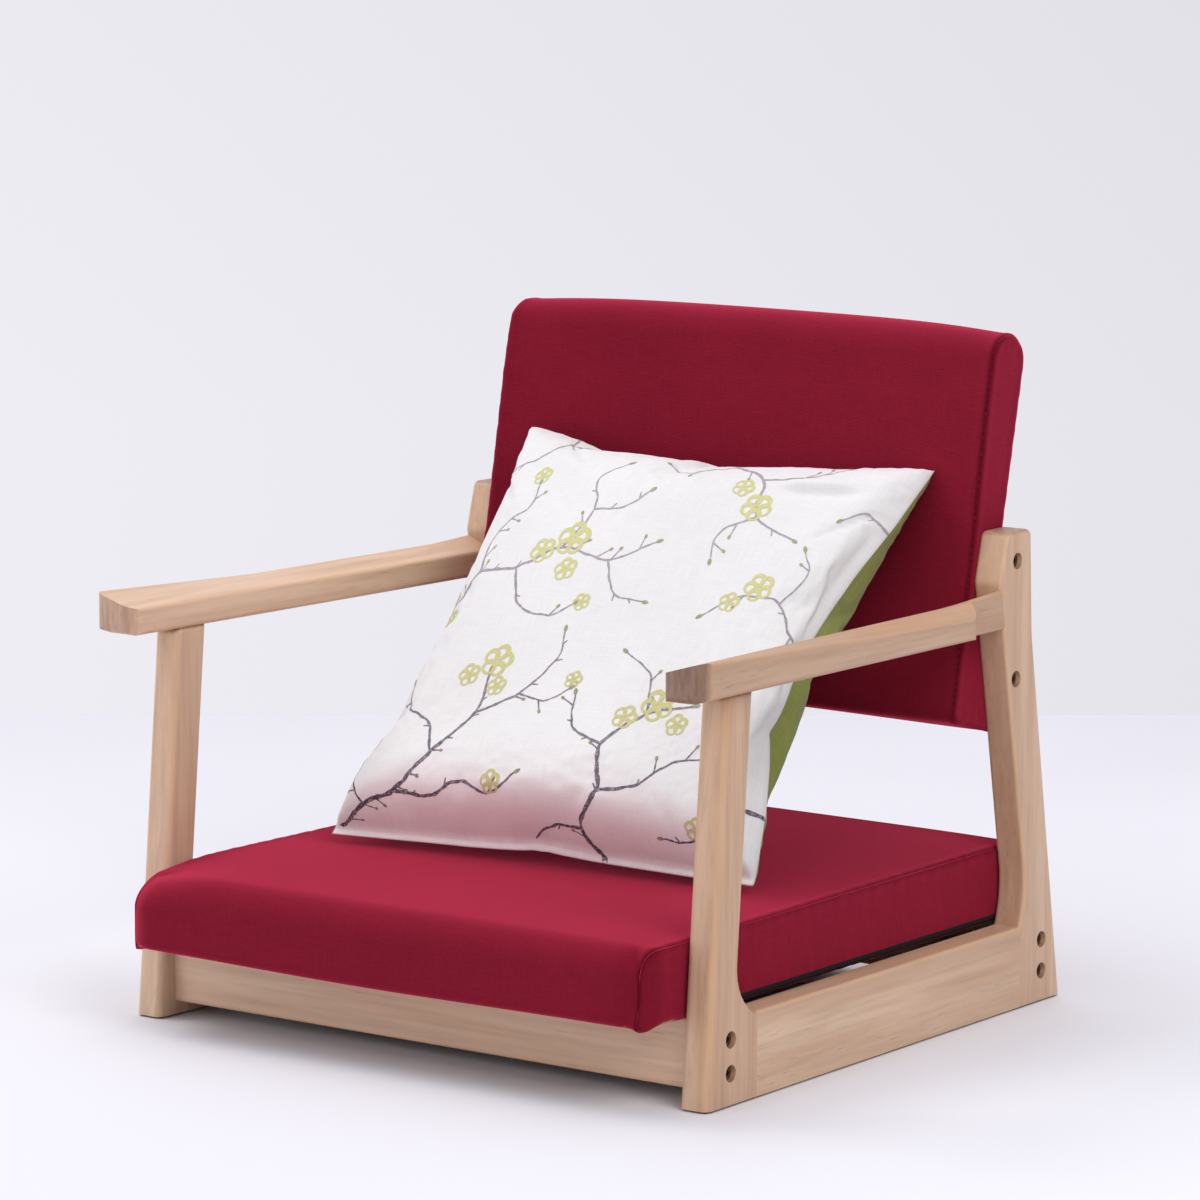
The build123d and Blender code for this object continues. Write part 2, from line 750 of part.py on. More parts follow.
def back_body(inset):
    """The padded back, drawn in by an even inset."""
    with BuildPart() as body:
        with BuildSketch(back_plane) as outline:
            Polygon(
                swung(back_bottom_front),
                swung(back_lumbar),
                swung(back_shoulder),
                swung(back_top_front),
                swung(back_top_rear),
                swung(back_waist),
                swung(back_heel),
                swung(back_bottom_rear),
                align=None,
            )
            fillet(outline.vertices().sort_by_distance(swung(back_lumbar))[0], back_bend_radius)
            fillet(outline.vertices().sort_by_distance(swung(back_shoulder))[0], back_bend_radius)
            fillet(outline.vertices().sort_by(Axis.Y)[-2:], back_top_radius)
            fillet(outline.vertices().sort_by_distance(swung(back_bottom_front))[0], back_bottom_radius)
            fillet(outline.vertices().sort_by_distance(swung(back_bottom_rear))[0], back_bottom_radius)
            offset(amount=-inset)
        revolve(axis=back_axis, revolution_arc=2 * back_sweep)
        with BuildSketch(Plane.XY):
            back_prism(inset)
        extrude(amount=2 * back_top_front[1], mode=Mode.INTERSECT)
    return body.part


def back_rear_at(height):
    """The rear edge of the back, forward of the rear foot, at a height above the heel."""
    rise = (height - back_waist[1]) / (back_top_rear[1] - back_waist[1])
    return back_waist[0] + rise * (back_top_rear[0] - back_waist[0])


def rear_strip(depth_start, depth_end, z_low, z_high):
    """Outline of a strip that follows the rear of the back: forward of the rear foot, height."""
    return [
        (back_heel[0] + depth_start, z_low),
        (back_heel[0] + depth_start, back_heel[1]),
        (back_waist[0] + depth_start, back_waist[1]),
        (back_rear_at(z_high) + depth_start, z_high),
        (back_rear_at(z_high) + depth_end, z_high),
        (back_waist[0] + depth_end, back_waist[1]),
        (back_heel[0] + depth_end, back_heel[1]),
        (back_heel[0] + depth_end, z_low),
    ]


stile_low = back_bottom_front[1] + stile_margin / 2
stile_high = back_top_front[1] - back_top_radius - stile_margin / 2
panel_start = rear_padding + (stile_depth - panel_thickness) / 2

with BuildPart() as back_stile:
    with BuildSketch(side.offset(-stile_depth_start)):
        strip = rear_strip(rear_padding, rear_padding + stile_depth, stile_low, stile_high)
        Polygon(*[(frame_length - forward, height) for forward, height in strip], align=None)
    extrude(amount=-stile_width)
    with Locations(*[on_side(along, height, stile_depth_start) for along, height in back_bolts_at]):
        Cylinder(
            insert_radius,
            insert_gap + insert_length,
            align=(Align.CENTER, Align.CENTER, Align.MAX),
            mode=Mode.SUBTRACT,
        )
keep_pair(back_stile, "back_stile")

with BuildPart() as back_panel:
    with BuildSketch(back_plane):
        strip = rear_strip(panel_start, panel_start + panel_thickness, stile_low, stile_high)
        Polygon(*[swung(spot) for spot in strip], align=None)
    revolve(axis=back_axis, revolution_arc=2 * back_sweep)
    with BuildSketch(Plane.XY):
        back_prism(cover_thickness + stile_width)
    extrude(amount=2 * back_top_front[1], mode=Mode.INTERSECT)
keep(back_panel, "back_panel")

with BuildPart() as back_cover:
    add(back_body(0))
    add(back_body(cover_thickness), mode=Mode.SUBTRACT)
    with Locations(*[on_side(along, height, mid_post) for along, height in back_bolts_at]):
        Cylinder(
            bolt_radius + bolt_clearance,
            2 * stile_depth_start,
            align=(Align.CENTER, Align.CENTER, Align.MAX),
            mode=Mode.SUBTRACT,
        )
    mirror(about=Plane.YZ, mode=Mode.INTERSECT)
keep(back_cover, "back_cover")

with BuildPart() as back_foam:
    add(back_body(cover_thickness))
    add(back_stile.part, mode=Mode.SUBTRACT)
    with Locations(*[on_side(along, height, stile_depth_start) for along, height in back_bolts_at]):
        Cylinder(
            insert_radius,
            insert_gap + insert_length,
            align=(Align.CENTER, Align.CENTER, Align.MAX),
            mode=Mode.SUBTRACT,
        )
    mirror(about=Plane.YZ, mode=Mode.INTERSECT)
    add(back_panel.part, mode=Mode.SUBTRACT)
keep(back_foam, "back_foam")

# ---------------------------------------------------------------- loose cushion
lean = radians(cushion_lean)
turn = radians(cushion_turn)
cushion_drop = max(width / 2 * sin(lean) + height * cos(lean) for height, width, bulge in cushion_rings)
cushion_y = rear_y - cushion_ahead
cushion_plane = Plane(
    origin=(cushion_side, cushion_y, seat_top + seat_crown + cushion_rise + cushion_drop),
    x_dir=(cos(turn), sin(turn), 0),
    z_dir=(sin(lean) * sin(turn), -sin(lean) * cos(turn), cos(lean)),
)


def cushion_half(facing, skin, skin_side):
    """Half of the cushion, in front of the seam (1) or behind it (-1), less a skin."""
    with BuildPart() as half:
        for height, width, bulge in cushion_rings:
            lift = facing * height * (1 - skin / cushion_rings[-1][0])
            reach = width / 2 - skin_side
            with BuildSketch(cushion_plane.offset(lift)) as ring:
                with BuildLine() as line:
                    ThreePointArc((-reach, -reach), (0, -reach - bulge), (reach, -reach))
                    ThreePointArc((reach, -reach), (reach + bulge, 0), (reach, reach))
                    ThreePointArc((reach, reach), (0, reach + bulge), (-reach, reach))
                    ThreePointArc((-reach, reach), (-reach - bulge, 0), (-reach, -reach))
                make_face(line.edges())
        loft(ruled=True)
    return half.part


def zip_band_box():
    """The space of the zip, in the lower edge just behind the seam."""
    near_seam, far_from_seam = zip_band
    with BuildPart() as band:
        with BuildSketch(cushion_plane.offset(-near_seam)):
            Rectangle(zip_length, cushion_rings[0][1], align=(Align.CENTER, Align.MAX))
        extrude(amount=near_seam - far_from_seam)
    return band.part


with BuildPart() as cushion_front:
    add(cushion_half(1, 0, 0))
    add(cushion_half(1, cushion_skin, cushion_skin_side), mode=Mode.SUBTRACT)
keep(cushion_front, "cushion_front")

with BuildPart() as cushion_zip:
    add(cushion_half(-1, 0, 0))
    add(cushion_half(-1, zip_share * cushion_skin, zip_share * cushion_skin_side), mode=Mode.SUBTRACT)
    add(zip_band_box(), mode=Mode.INTERSECT)
keep(cushion_zip, "cushion_zip")

with BuildPart() as cushion_back:
    add(cushion_half(-1, 0, 0))
    add(cushion_half(-1, cushion_skin, cushion_skin_side), mode=Mode.SUBTRACT)
    add(cushion_zip.part, mode=Mode.SUBTRACT)
keep(cushion_back, "cushion_back")

with BuildPart() as cushion_filling:
    add(cushion_half(1, cushion_skin, cushion_skin_side))
    add(cushion_half(-1, cushion_skin, cushion_skin_side))
keep(cushion_filling, "cushion_filling")
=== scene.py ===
import math

import bmesh
import bpy
import numpy as np
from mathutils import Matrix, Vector


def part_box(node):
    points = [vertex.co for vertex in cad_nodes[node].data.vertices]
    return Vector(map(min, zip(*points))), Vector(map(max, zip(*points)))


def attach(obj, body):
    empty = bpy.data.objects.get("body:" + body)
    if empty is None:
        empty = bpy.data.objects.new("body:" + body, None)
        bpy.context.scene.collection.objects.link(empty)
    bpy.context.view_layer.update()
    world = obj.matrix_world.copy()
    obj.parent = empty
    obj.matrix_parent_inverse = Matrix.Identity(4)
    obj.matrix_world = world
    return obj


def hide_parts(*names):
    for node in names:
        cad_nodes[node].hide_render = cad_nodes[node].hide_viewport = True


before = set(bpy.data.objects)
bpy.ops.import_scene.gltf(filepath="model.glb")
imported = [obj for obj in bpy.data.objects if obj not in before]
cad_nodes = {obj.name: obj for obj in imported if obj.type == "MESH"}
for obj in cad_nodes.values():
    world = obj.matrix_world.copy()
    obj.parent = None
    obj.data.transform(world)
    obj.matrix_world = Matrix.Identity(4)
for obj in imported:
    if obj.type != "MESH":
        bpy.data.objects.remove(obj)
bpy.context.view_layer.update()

# A legless floor chair with armrests, its upholstery and a loose printed cushion.
# Metres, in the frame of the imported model: +Z up, the seat faces -Y.

scene = bpy.context.scene
CHAIR = "chair"
CUSHION = "cushion"

# ---- places from the frame
rear_foot_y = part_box("rear_post_right")[1].y
seat_low, seat_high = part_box("seat_cover")
back_low, back_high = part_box("back_cover")
TOE_IN = math.radians(1.77)


# ---- node materials
class Nodes:
    """A node tree, with short ways to add nodes and link them."""

    def __init__(self, tree):
        self.tree = tree

    def feed(self, socket, value):
        """Links another node's output to a socket, or sets the socket to a plain value."""
        if isinstance(value, bpy.types.NodeSocket):
            self.tree.links.new(value, socket)
        else:
            socket.default_value = value

    def node(self, kind, inputs=(), **settings):
        made = self.tree.nodes.new("ShaderNode" + kind)
        for key, value in settings.items():
            setattr(made, key, value)
        for key, value in dict(inputs).items():
            self.feed(made.inputs[key], value)
        return made

    def math(self, operation, first, second=0.0):
        return self.node("Math", {0: first, 1: second}, operation=operation).outputs[0]

    def span(self, value, low, high, to_low=0.0, to_high=1.0):
        """A value mapped from one range to another, and held at its ends."""
        inputs = {"Value": value, "From Min": low, "From Max": high, "To Min": to_low, "To Max": to_high}
        return self.node("MapRange", inputs).outputs["Result"]


class Paint(Nodes):
    """A new node material with its Principled shader."""

    def __init__(self, name):
        self.material = bpy.data.materials.new(name)
        self.material.use_nodes = True
        super().__init__(self.material.node_tree)
        self.shader = self.tree.nodes["Principled BSDF"]

    def set(self, **values):
        for key, value in values.items():
            self.feed(self.shader.inputs[key.replace("_", " ")], value)

    def place(self):
        return self.node("TexCoord").outputs["Object"]

    def ramp(self, factor, stops):
        made = self.node("ValToRGB", {"Fac": factor})
        elements = made.color_ramp.elements
        while len(elements) < len(stops):
            elements.new(0.5)
        for element, (place, colour) in zip(elements, stops):
            element.position = place
            element.color = (*colour, 1.0)
        return made.outputs["Color"]

    def mix(self, factor, first, second):
        inputs = {0: factor}
        for number, tone in ((6, first), (7, second)):
            inputs[number] = tone if isinstance(tone, bpy.types.NodeSocket) else (*tone, 1.0)
        return self.node("Mix", inputs, data_type="RGBA").outputs[2]

    def noise(self, vector, scale, detail=3.0, roughness=0.55):
        inputs = {"Vector": vector, "Scale": scale, "Detail": detail, "Roughness": roughness}
        return self.node("TexNoise", inputs).outputs["Fac"]

    def stretched(self, vector, scales, shift=(0.0, 0.0, 0.0)):
        return self.node("Mapping", {"Vector": vector, "Location": shift, "Scale": scales}).outputs["Vector"]

    def bump(self, height, strength, distance):
        made = self.node("Bump", {"Height": height, "Strength": strength, "Distance": distance})
        self.set(Normal=made.outputs["Normal"])


def times(colour, factor):
    return tuple(factor * value for value in colour)


GRAIN_STRETCH = 0.045


def wood(name, along, offset, tones, end_grain_and_painted_shade=0.75):
    """Pale close-grained wood: streaks, short dark flecks, darker end grain partly as painted shade, and a
    painted highlight on rounded edges.

    The grain runs along X, Y or Z. The last argument sets how dark the ends are: real end grain and painted
    shade.
    """
    light, dark = tones
    paint = Paint(name)
    coordinates = paint.node("TexCoord").outputs
    axis = "XYZ".index(along)
    scales = [1.0, 1.0, 1.0]
    scales[axis] = GRAIN_STRETCH
    shift = (offset, offset * 0.7, offset * 1.3)
    space = paint.stretched(coordinates["Object"], scales, shift)
    broad = paint.noise(space, 26.0, 2.0)
    streaks = paint.noise(space, 190.0, 4.0, 0.65)
    fine = paint.noise(space, 620.0, 2.0, 0.6)
    cells = paint.node("TexVoronoi", {"Vector": space, "Scale": 430.0, "Randomness": 1.0}).outputs["Distance"]
    patches = paint.span(paint.noise(space, 60.0, 2.0), 0.42, 0.62)
    flecks = paint.math("MULTIPLY", paint.span(cells, 0.06, 0.20, 1.0, 0.0), patches)
    base = paint.ramp(broad, [(0.3, dark), (0.7, light)])
    bands = paint.noise(space, 75.0, 2.0, 0.5)
    reddish = (dark[0] * 0.95, dark[1] * 0.80, dark[2] * 0.70)
    banded = paint.mix(paint.span(bands, 0.48, 0.72, 0.0, 0.55), base, reddish)
    streaked = paint.mix(paint.span(streaks, 0.42, 1.0, 0.0, 0.75), banded, times(dark, 0.60))
    flecked = paint.mix(paint.math("MULTIPLY", flecks, 0.62), streaked, times(dark, 0.42))
    facing = paint.node("SeparateXYZ", {"Vector": coordinates["Normal"]}).outputs
    sizes = [paint.math("ABSOLUTE", facing[letter]) for letter in "XYZ"]
    squarest = paint.math("MAXIMUM", paint.math("MAXIMUM", sizes[0], sizes[1]), sizes[2])
    # Painted highlight: rounded edges, which face no axis squarely, are made lighter and warmer.
    edge_highlight = (min(1.0, light[0] * 1.04), light[1] * 0.88, light[2] * 0.70)
    edge_highlighted = paint.mix(paint.span(squarest, 0.88, 0.97, 0.35, 0.0), flecked, edge_highlight)
    rings = paint.stretched(coordinates["Object"], [1.0, 1.0, 0.15], shift)
    # End faces are darker: partly the wood's real end grain, partly painted shade.
    end_grain_and_shade_dark = (dark[0] * (end_grain_and_painted_shade - 0.12), dark[1] * (end_grain_and_painted_shade - 0.20), dark[2] * (end_grain_and_painted_shade - 0.18))
    ring_tone = paint.span(paint.noise(rings, 260.0, 3.0), 0.35, 0.65)
    end_grain_and_shade_tone = paint.mix(ring_tone, end_grain_and_shade_dark, times(dark, end_grain_and_painted_shade + 0.10))
    ended = paint.mix(paint.span(sizes[axis], 0.30, 0.72, 0.0, 0.95), edge_highlighted, end_grain_and_shade_tone)
    paint.set(Base_Color=ended, Coat_Weight=0.30, Coat_Roughness=0.30)
    paint.set(Roughness=paint.span(fine, 0.0, 1.0, 0.44, 0.62))
    paint.bump(paint.math("SUBTRACT", paint.math("MULTIPLY", fine, 0.4), flecks), 0.25, 0.0004)
    return paint.material


WAVES_TO_SCALE = 0.31416     # the wave texture's scale for one wave in a metre


def fabric_base(name, period):
    """The start of a woven fabric: its paint, its map in metres, its plain weave and its uneven threads."""
    paint = Paint(name)
    uv = paint.node("UVMap", uv_map="cloth").outputs["UV"]
    wefts = paint.noise(paint.stretched(uv, (45.0, 900.0, 1.0)), 1.0, 2.0)
    warps = paint.noise(paint.stretched(uv, (900.0, 45.0, 1.0)), 1.0, 2.0)
    threads = paint.math("MULTIPLY", paint.math("ADD", wefts, warps), 0.5)
    inputs = {"Vector": uv, "Scale": WAVES_TO_SCALE / period, "Distortion": 0.3, "Detail": 1.0}
    waves = [paint.node("TexWave", inputs, bands_direction=way).outputs["Fac"] for way in "XY"]
    return paint, uv, paint.math("ADD", *waves), threads


def red_cloth():
    """Matte crimson upholstery cloth with a short nap: a plain weave with uneven threads."""
    paint, uv, weave, threads = fabric_base("red_cloth", 0.0011)
    broad = paint.noise(uv, 9.0, 3.0)
    base = paint.ramp(broad, [(0.3, (0.158, 0.0064, 0.0172)), (0.7, (0.194, 0.0078, 0.0214))])
    specks = paint.noise(uv, 420.0, 3.0, 0.7)
    mottled = paint.mix(paint.span(specks, 0.35, 0.65, 0.0, 0.45), base, (0.245, 0.0112, 0.0290))
    threaded = paint.mix(paint.span(threads, 0.40, 0.62, 0.0, 0.45), mottled, (0.125, 0.0050, 0.0130))
    woven = paint.mix(paint.span(weave, 0.0, 1.0, 0.30, 0.0), threaded, (0.080, 0.0020, 0.0070))
    # Painted shade: the cloth is darkened along its seams, as far as the seam attribute says.
    seam = paint.node("Attribute", attribute_name="seam").outputs["Fac"]
    shown = paint.mix(paint.math("MULTIPLY", seam, 0.88), woven, (0.030, 0.0010, 0.0035))
    paint.set(Base_Color=shown, Roughness=0.92, Specular_IOR_Level=0.03)
    paint.set(Sheen_Weight=1.0, Sheen_Roughness=0.44, Sheen_Tint=(1.0, 0.080, 0.170, 1.0))
    paint.bump(paint.math("ADD", weave, paint.math("MULTIPLY", threads, 1.5)), 0.35, 0.0003)
    return paint.material


def cotton(name, period, broad, tones, threading, thread_tone, roughness, sheen, relief):
    """Plain woven cotton: its tones over a broad scale, and how strongly its threads show."""
    paint, uv, weave, threads = fabric_base(name, period)
    dark, light = tones
    base = paint.ramp(paint.noise(uv, broad, 2.0), [(0.3, dark), (0.7, light)])
    shown = paint.mix(paint.span(threads, *threading), base, thread_tone)
    paint.set(Base_Color=shown, Roughness=roughness, Specular_IOR_Level=0.25)
    paint.set(Sheen_Weight=sheen, Sheen_Roughness=0.5)
    paint.bump(paint.math("ADD", weave, threads), relief, 0.0002)
    return paint.material


def cushion_cloths():
    """Off-white cotton, the ground of the print, and olive green cotton for the rear panel."""
    whites = (0.72, 0.715, 0.705), (0.755, 0.75, 0.745)
    greens = (0.235, 0.265, 0.055), (0.30, 0.335, 0.085)
    grey, dark_green = (0.60, 0.59, 0.57), (0.15, 0.175, 0.03)
    return [
        cotton("printed_cloth", 0.0008, 10.0, whites, (0.42, 0.62, 0.0, 0.35), grey, 0.85, 0.12, 0.25),
        cotton("green_cloth", 0.0009, 12.0, greens, (0.40, 0.62, 0.0, 0.5), dark_green, 0.87, 0.15, 0.3),
    ]


INK_FADE = 0.17, 0.36        # between these heights the print grows fainter


def ink(name, faint, strong):
    """Printed colour in the cloth, uneven, and stronger towards the lower edge of the print."""
    paint = Paint(name)
    place = paint.place()
    height = paint.node("SeparateXYZ", {"Vector": place}).outputs["Z"]
    shown = paint.mix(paint.span(height, *INK_FADE), strong, faint)
    wear = paint.span(paint.noise(place, 520.0, 2.0), 0.45, 0.75, 0.0, 0.55)
    worn = paint.mix(wear, shown, (0.62, 0.60, 0.56))
    paint.set(Base_Color=worn, Roughness=0.85, Specular_IOR_Level=0.2)
    paint.bump(paint.noise(place, 900.0, 1.0), 0.2, 0.0001)
    return paint.material


def metal(name, colour, roughness):
    """Bolt and nut metal with a slightly uneven surface."""
    paint = Paint(name)
    place = paint.place()
    cloud = paint.noise(place, 300.0, 3.0)
    paint.set(Base_Color=paint.mix(cloud, colour, times(colour, 0.6)), Metallic=0.85)
    paint.set(Roughness=paint.span(cloud, 0.0, 1.0, roughness - 0.08, roughness + 0.12))
    paint.bump(paint.noise(place, 1500.0, 1.0), 0.15, 0.0001)
    return paint.material


def plain_cloth(name, tones, scale, strength):
    """Felt or non-woven cloth: fibres with no weave."""
    light, dark = tones
    paint = Paint(name)
    fibres = paint.noise(paint.place(), scale, 4.0, 0.7)
    paint.set(Base_Color=paint.mix(fibres, dark, light), Roughness=0.95, Specular_IOR_Level=0.1)
    paint.bump(fibres, strength, 0.0005)
    return paint.material


# Light and dark tones of each stuff; the rail and left armrest tones carry painted light, the right front
# post and right armrest tones painted shade.
FRAME_WOOD = (0.70, 0.49, 0.335), (0.56, 0.355, 0.225)
# Painted light: the front and rear rails are made paler, against the shade under the seat's overhang.
RAIL_WOOD_PAINTED_LIGHT = (0.80, 0.545, 0.37), (0.65, 0.405, 0.26)
# Painted shade: the right front post is made darker, against the strong low light on its front face.
POST_WOOD_PAINTED_SHADE = (0.65, 0.44, 0.29), (0.52, 0.315, 0.19)
# Painted shade: the right armrest, further from the key light, is made darker.
ARM_WOOD_PAINTED_SHADE = (0.60, 0.41, 0.275), (0.48, 0.295, 0.18)
# Painted light: the left armrest, nearer the key light, is made paler.
ARM_WOOD_PAINTED_LIGHT = (0.76, 0.54, 0.38), (0.62, 0.40, 0.26)
PLYWOOD = (0.62, 0.45, 0.28), (0.50, 0.34, 0.20)
FELT = (0.16, 0.12, 0.09), (0.07, 0.05, 0.035)
DUST = (0.03, 0.03, 0.032), (0.008, 0.008, 0.009)
BRONZE, ZINC, BRASSY_ZINC = (0.16, 0.09, 0.045), (0.50, 0.50, 0.47), (0.50, 0.47, 0.35)
# Painted shade: the end grain of the right armrest is made darker still, for the shade on its front end.
DARKER_END_PAINTED_SHADE = 0.46

# For each node: the way its grain runs, where in the grain it is cut, its tones, some with painted light and
# shade, and any painted shade of its ends.
WOODEN = {
    "front_post_right": ("Z", 0.0, POST_WOOD_PAINTED_SHADE),
    "front_post_left": ("Z", 1.7, FRAME_WOOD),
    "rear_post_right": ("Z", 2.9, FRAME_WOOD),
    "rear_post_left": ("Z", 4.3, FRAME_WOOD),
    "side_rail_right": ("Y", 5.1, FRAME_WOOD),
    "side_rail_left": ("Y", 6.7, FRAME_WOOD),
    "armrest_right": ("Y", 7.9, ARM_WOOD_PAINTED_SHADE, DARKER_END_PAINTED_SHADE),
    "armrest_left": ("Y", 8.3, ARM_WOOD_PAINTED_LIGHT),
    "front_rail": ("X", 9.1, RAIL_WOOD_PAINTED_LIGHT),
    "rear_rail": ("X", 10.3, RAIL_WOOD_PAINTED_LIGHT),
    "rail_dowels": ("Y", 11.1, FRAME_WOOD),
    "armrest_front_dowels": ("Z", 12.7, FRAME_WOOD),
    "armrest_rear_dowels": ("Y", 13.9, FRAME_WOOD),
    "seat_board": ("X", 3.1, PLYWOOD),
    "back_stile_right": ("Z", 3.5, PLYWOOD),
    "back_stile_left": ("Z", 3.9, PLYWOOD),
    "back_panel": ("X", 4.7, PLYWOOD),
}
METAL = {
    "rail_bolts": (BRONZE, 0.42),
    "back_bolts": (BRONZE, 0.42),
    "barrel_nuts": (ZINC, 0.35),
    "insert_nuts": (ZINC, 0.35),
    "seat_screws": (BRASSY_ZINC, 0.35),
    "seat_staples": (ZINC, 0.3),
}
node_finishes = {node: wood("wood_" + node, *settings) for node, settings in WOODEN.items()}
node_finishes |= {node: metal("metal_" + node, *settings) for node, settings in METAL.items()}
for node_name in ("felt_strip_right", "felt_strip_left"):
    node_finishes[node_name] = plain_cloth(node_name, FELT, 900.0, 0.6)
for node_name, finish in node_finishes.items():
    slots = cad_nodes[node_name].data.materials
    slots.clear()
    slots.append(finish)


# ---- mesh helpers
def mesh_piece(name, points, faces, materials, uvs=None, face_slots=None, smooth=True, seam=None):
    """A new mesh object. uvs holds one (u, v) in metres for each corner of each face, and seam one value of
    painted seam shade for each point.
    """
    mesh = bpy.data.meshes.new(name)
    mesh.from_pydata([tuple(point) for point in points], [], faces)
    for material in materials:
        mesh.materials.append(material)
    if uvs is not None:
        layer = mesh.uv_layers.new(name="cloth")
        layer.data.foreach_set("uv", np.asarray(uvs, np.float32).ravel())
    if face_slots is not None:
        mesh.polygons.foreach_set("material_index", face_slots)
    if seam is not None:
        mesh.attributes.new("seam", "FLOAT", "POINT").data.foreach_set("value", np.asarray(seam, np.float32))
    mesh.polygons.foreach_set("use_smooth", [smooth] * len(mesh.polygons))
    mesh.update()
    piece = bpy.data.objects.new(name, mesh)
    scene.collection.objects.link(piece)
    return piece


def turn_outwards(piece):
    """Triangulates the many-sided faces and turns every face outwards."""
    work = bmesh.new()
    work.from_mesh(piece.data)
    bmesh.ops.recalc_face_normals(work, faces=work.faces)
    bmesh.ops.triangulate(work, faces=[face for face in work.faces if len(face.verts) > 4])
    work.to_mesh(piece.data)
    work.free()


LOOP_STEP = 0.0035


def rounded_loop(corners):
    """A closed outline, evenly spaced, from (y, z, radius) corners given anticlockwise."""
    points = []
    for index, (*here, radius) in enumerate(corners):
        come = unit(np.subtract(here, corners[index - 1][:2]))
        go = unit(np.subtract(corners[(index + 1) % len(corners)][:2], here))
        turn = math.atan2(come[0] * go[1] - come[1] * go[0], float(come @ go))
        tangent = radius * math.tan(abs(turn) / 2)
        start = here - come * tangent
        side = np.array([-come[1], come[0]]) * math.copysign(1.0, turn)
        centre = start + side * radius
        steps = max(2, int(abs(turn) * radius / LOOP_STEP) + 2)
        for part in np.linspace(0.0, turn, steps):
            spin = np.array([[math.cos(part), -math.sin(part)], [math.sin(part), math.cos(part)]])
            points.append(centre + spin @ (start - centre))
    closed = np.array(points + points[:1])
    lengths = run_lengths(closed)
    wanted = np.linspace(0.0, lengths[-1], int(lengths[-1] / LOOP_STEP) + 1)[:-1]
    return np.stack([np.interp(wanted, lengths, closed[:, axis]) for axis in (0, 1)], axis=1)


def loop_normals(loop):
    """Outward normals of an anticlockwise loop."""
    return -quarter_turn(unit(np.roll(loop, -1, axis=0) - np.roll(loop, 1, axis=0)))


def nearest_on_line(points, line):
    """The nearest point of an open line to each point."""
    best = np.full(len(points), np.inf)
    found = np.zeros_like(points)
    for start, end in zip(line[:-1], line[1:]):
        run = end - start
        share = np.clip((points - start) @ run / (run @ run), 0.0, 1.0)
        spot = start + share[:, None] * run
        distance = np.linalg.norm(points - spot, axis=1)
        closer = distance < best
        best[closer] = distance[closer]
        found[closer] = spot[closer]
    return found


def run_lengths(points):
    """How far along a line of points each of them lies."""
    return np.concatenate([[0.0], np.cumsum(np.linalg.norm(np.diff(points, axis=0), axis=1))])


def unit(vectors):
    return vectors / np.linalg.norm(vectors, axis=-1)[..., None]


def quarter_turn(vectors):
    """Flat vectors turned a quarter to the left."""
    return np.stack([-vectors[:, 1], vectors[:, 0]], axis=1)


def along_curve(p0, p1, p2, p3, part):
    """A place on the smooth curve through four points, part of the way from the second to the third."""
    bend = 2 * p0 - 5 * p1 + 4 * p2 - p3
    twist = 3 * p1 - p0 - 3 * p2 + p3
    return 0.5 * (2 * p1 + (p2 - p0) * part + bend * part**2 + twist * part**3)


def bell(value, width):
    """1 at zero, and falling off smoothly over a width."""
    return np.exp(-((value / width) ** 2))


def ramped(value, low, high):
    """0 below low, 1 above high, and smooth between."""
    share = np.clip((value - low) / (high - low), 0.0, 1.0)
    return share * share * (3.0 - 2.0 * share)


def ripple(place, period):
    """Uneven waves of cloth along a seam, from about -1 to 1."""
    turn = 2.0 * math.pi * place / period
    return (np.sin(turn) + 0.7 * np.sin(0.618 * turn + 1.3) + 0.5 * np.sin(1.731 * turn + 2.1)) / 2.2


# SHADE_WIDTH is how far the painted shade beside a seam reaches.
SEAM_DEPTH, SEAM_WIDTH, SHADE_WIDTH = 0.0021, 0.0014, 0.0021
LIP_HEIGHT, LIP_PLACE, LIP_WIDTH = 0.0006, 0.0048, 0.0032
PUCKER_HEIGHT, PUCKER_PERIOD, PUCKER_REACH = 0.0004, 0.017, 0.009


def sewn_height(distance, depth, pucker):
    """How far a seam moves the cloth near it: a sharp valley, a soft lip beside it, and puckers."""
    lip = LIP_HEIGHT * bell(distance - LIP_PLACE, LIP_WIDTH) - SEAM_DEPTH * bell(distance, SEAM_WIDTH)
    return depth * (lip + pucker * np.exp(-distance / PUCKER_REACH))


EDGE_STEPS = (0.0, 0.0008, 0.0016, 0.0027, 0.0042, 0.0064, 0.0095, 0.0140, 0.0205)
CAP_STEPS = (0.0008, 0.0016, 0.0027, 0.0042, 0.0064, 0.0095, 0.0130, 0.0170)
CROSS_STATIONS = 97
CLOTH_SETTLING, CAP_SETTLING = 0.03, 0.006    # how far from a seam the cloth has taken up its swell
DEEPEST_CAP_SHARE = 0.8    # how much of the way to the middle a ring of an end panel may go
# How high the dark rim of painted shade reaches up the end panels.
PAINTED_SHADE_RIM_HEIGHT = 0.0065
CAP_BULGE = 0.0008


def evenly_sewn(side, loop):
    """How deep the seam of an end panel is, at each point of the outline."""
    return np.ones(len(loop))


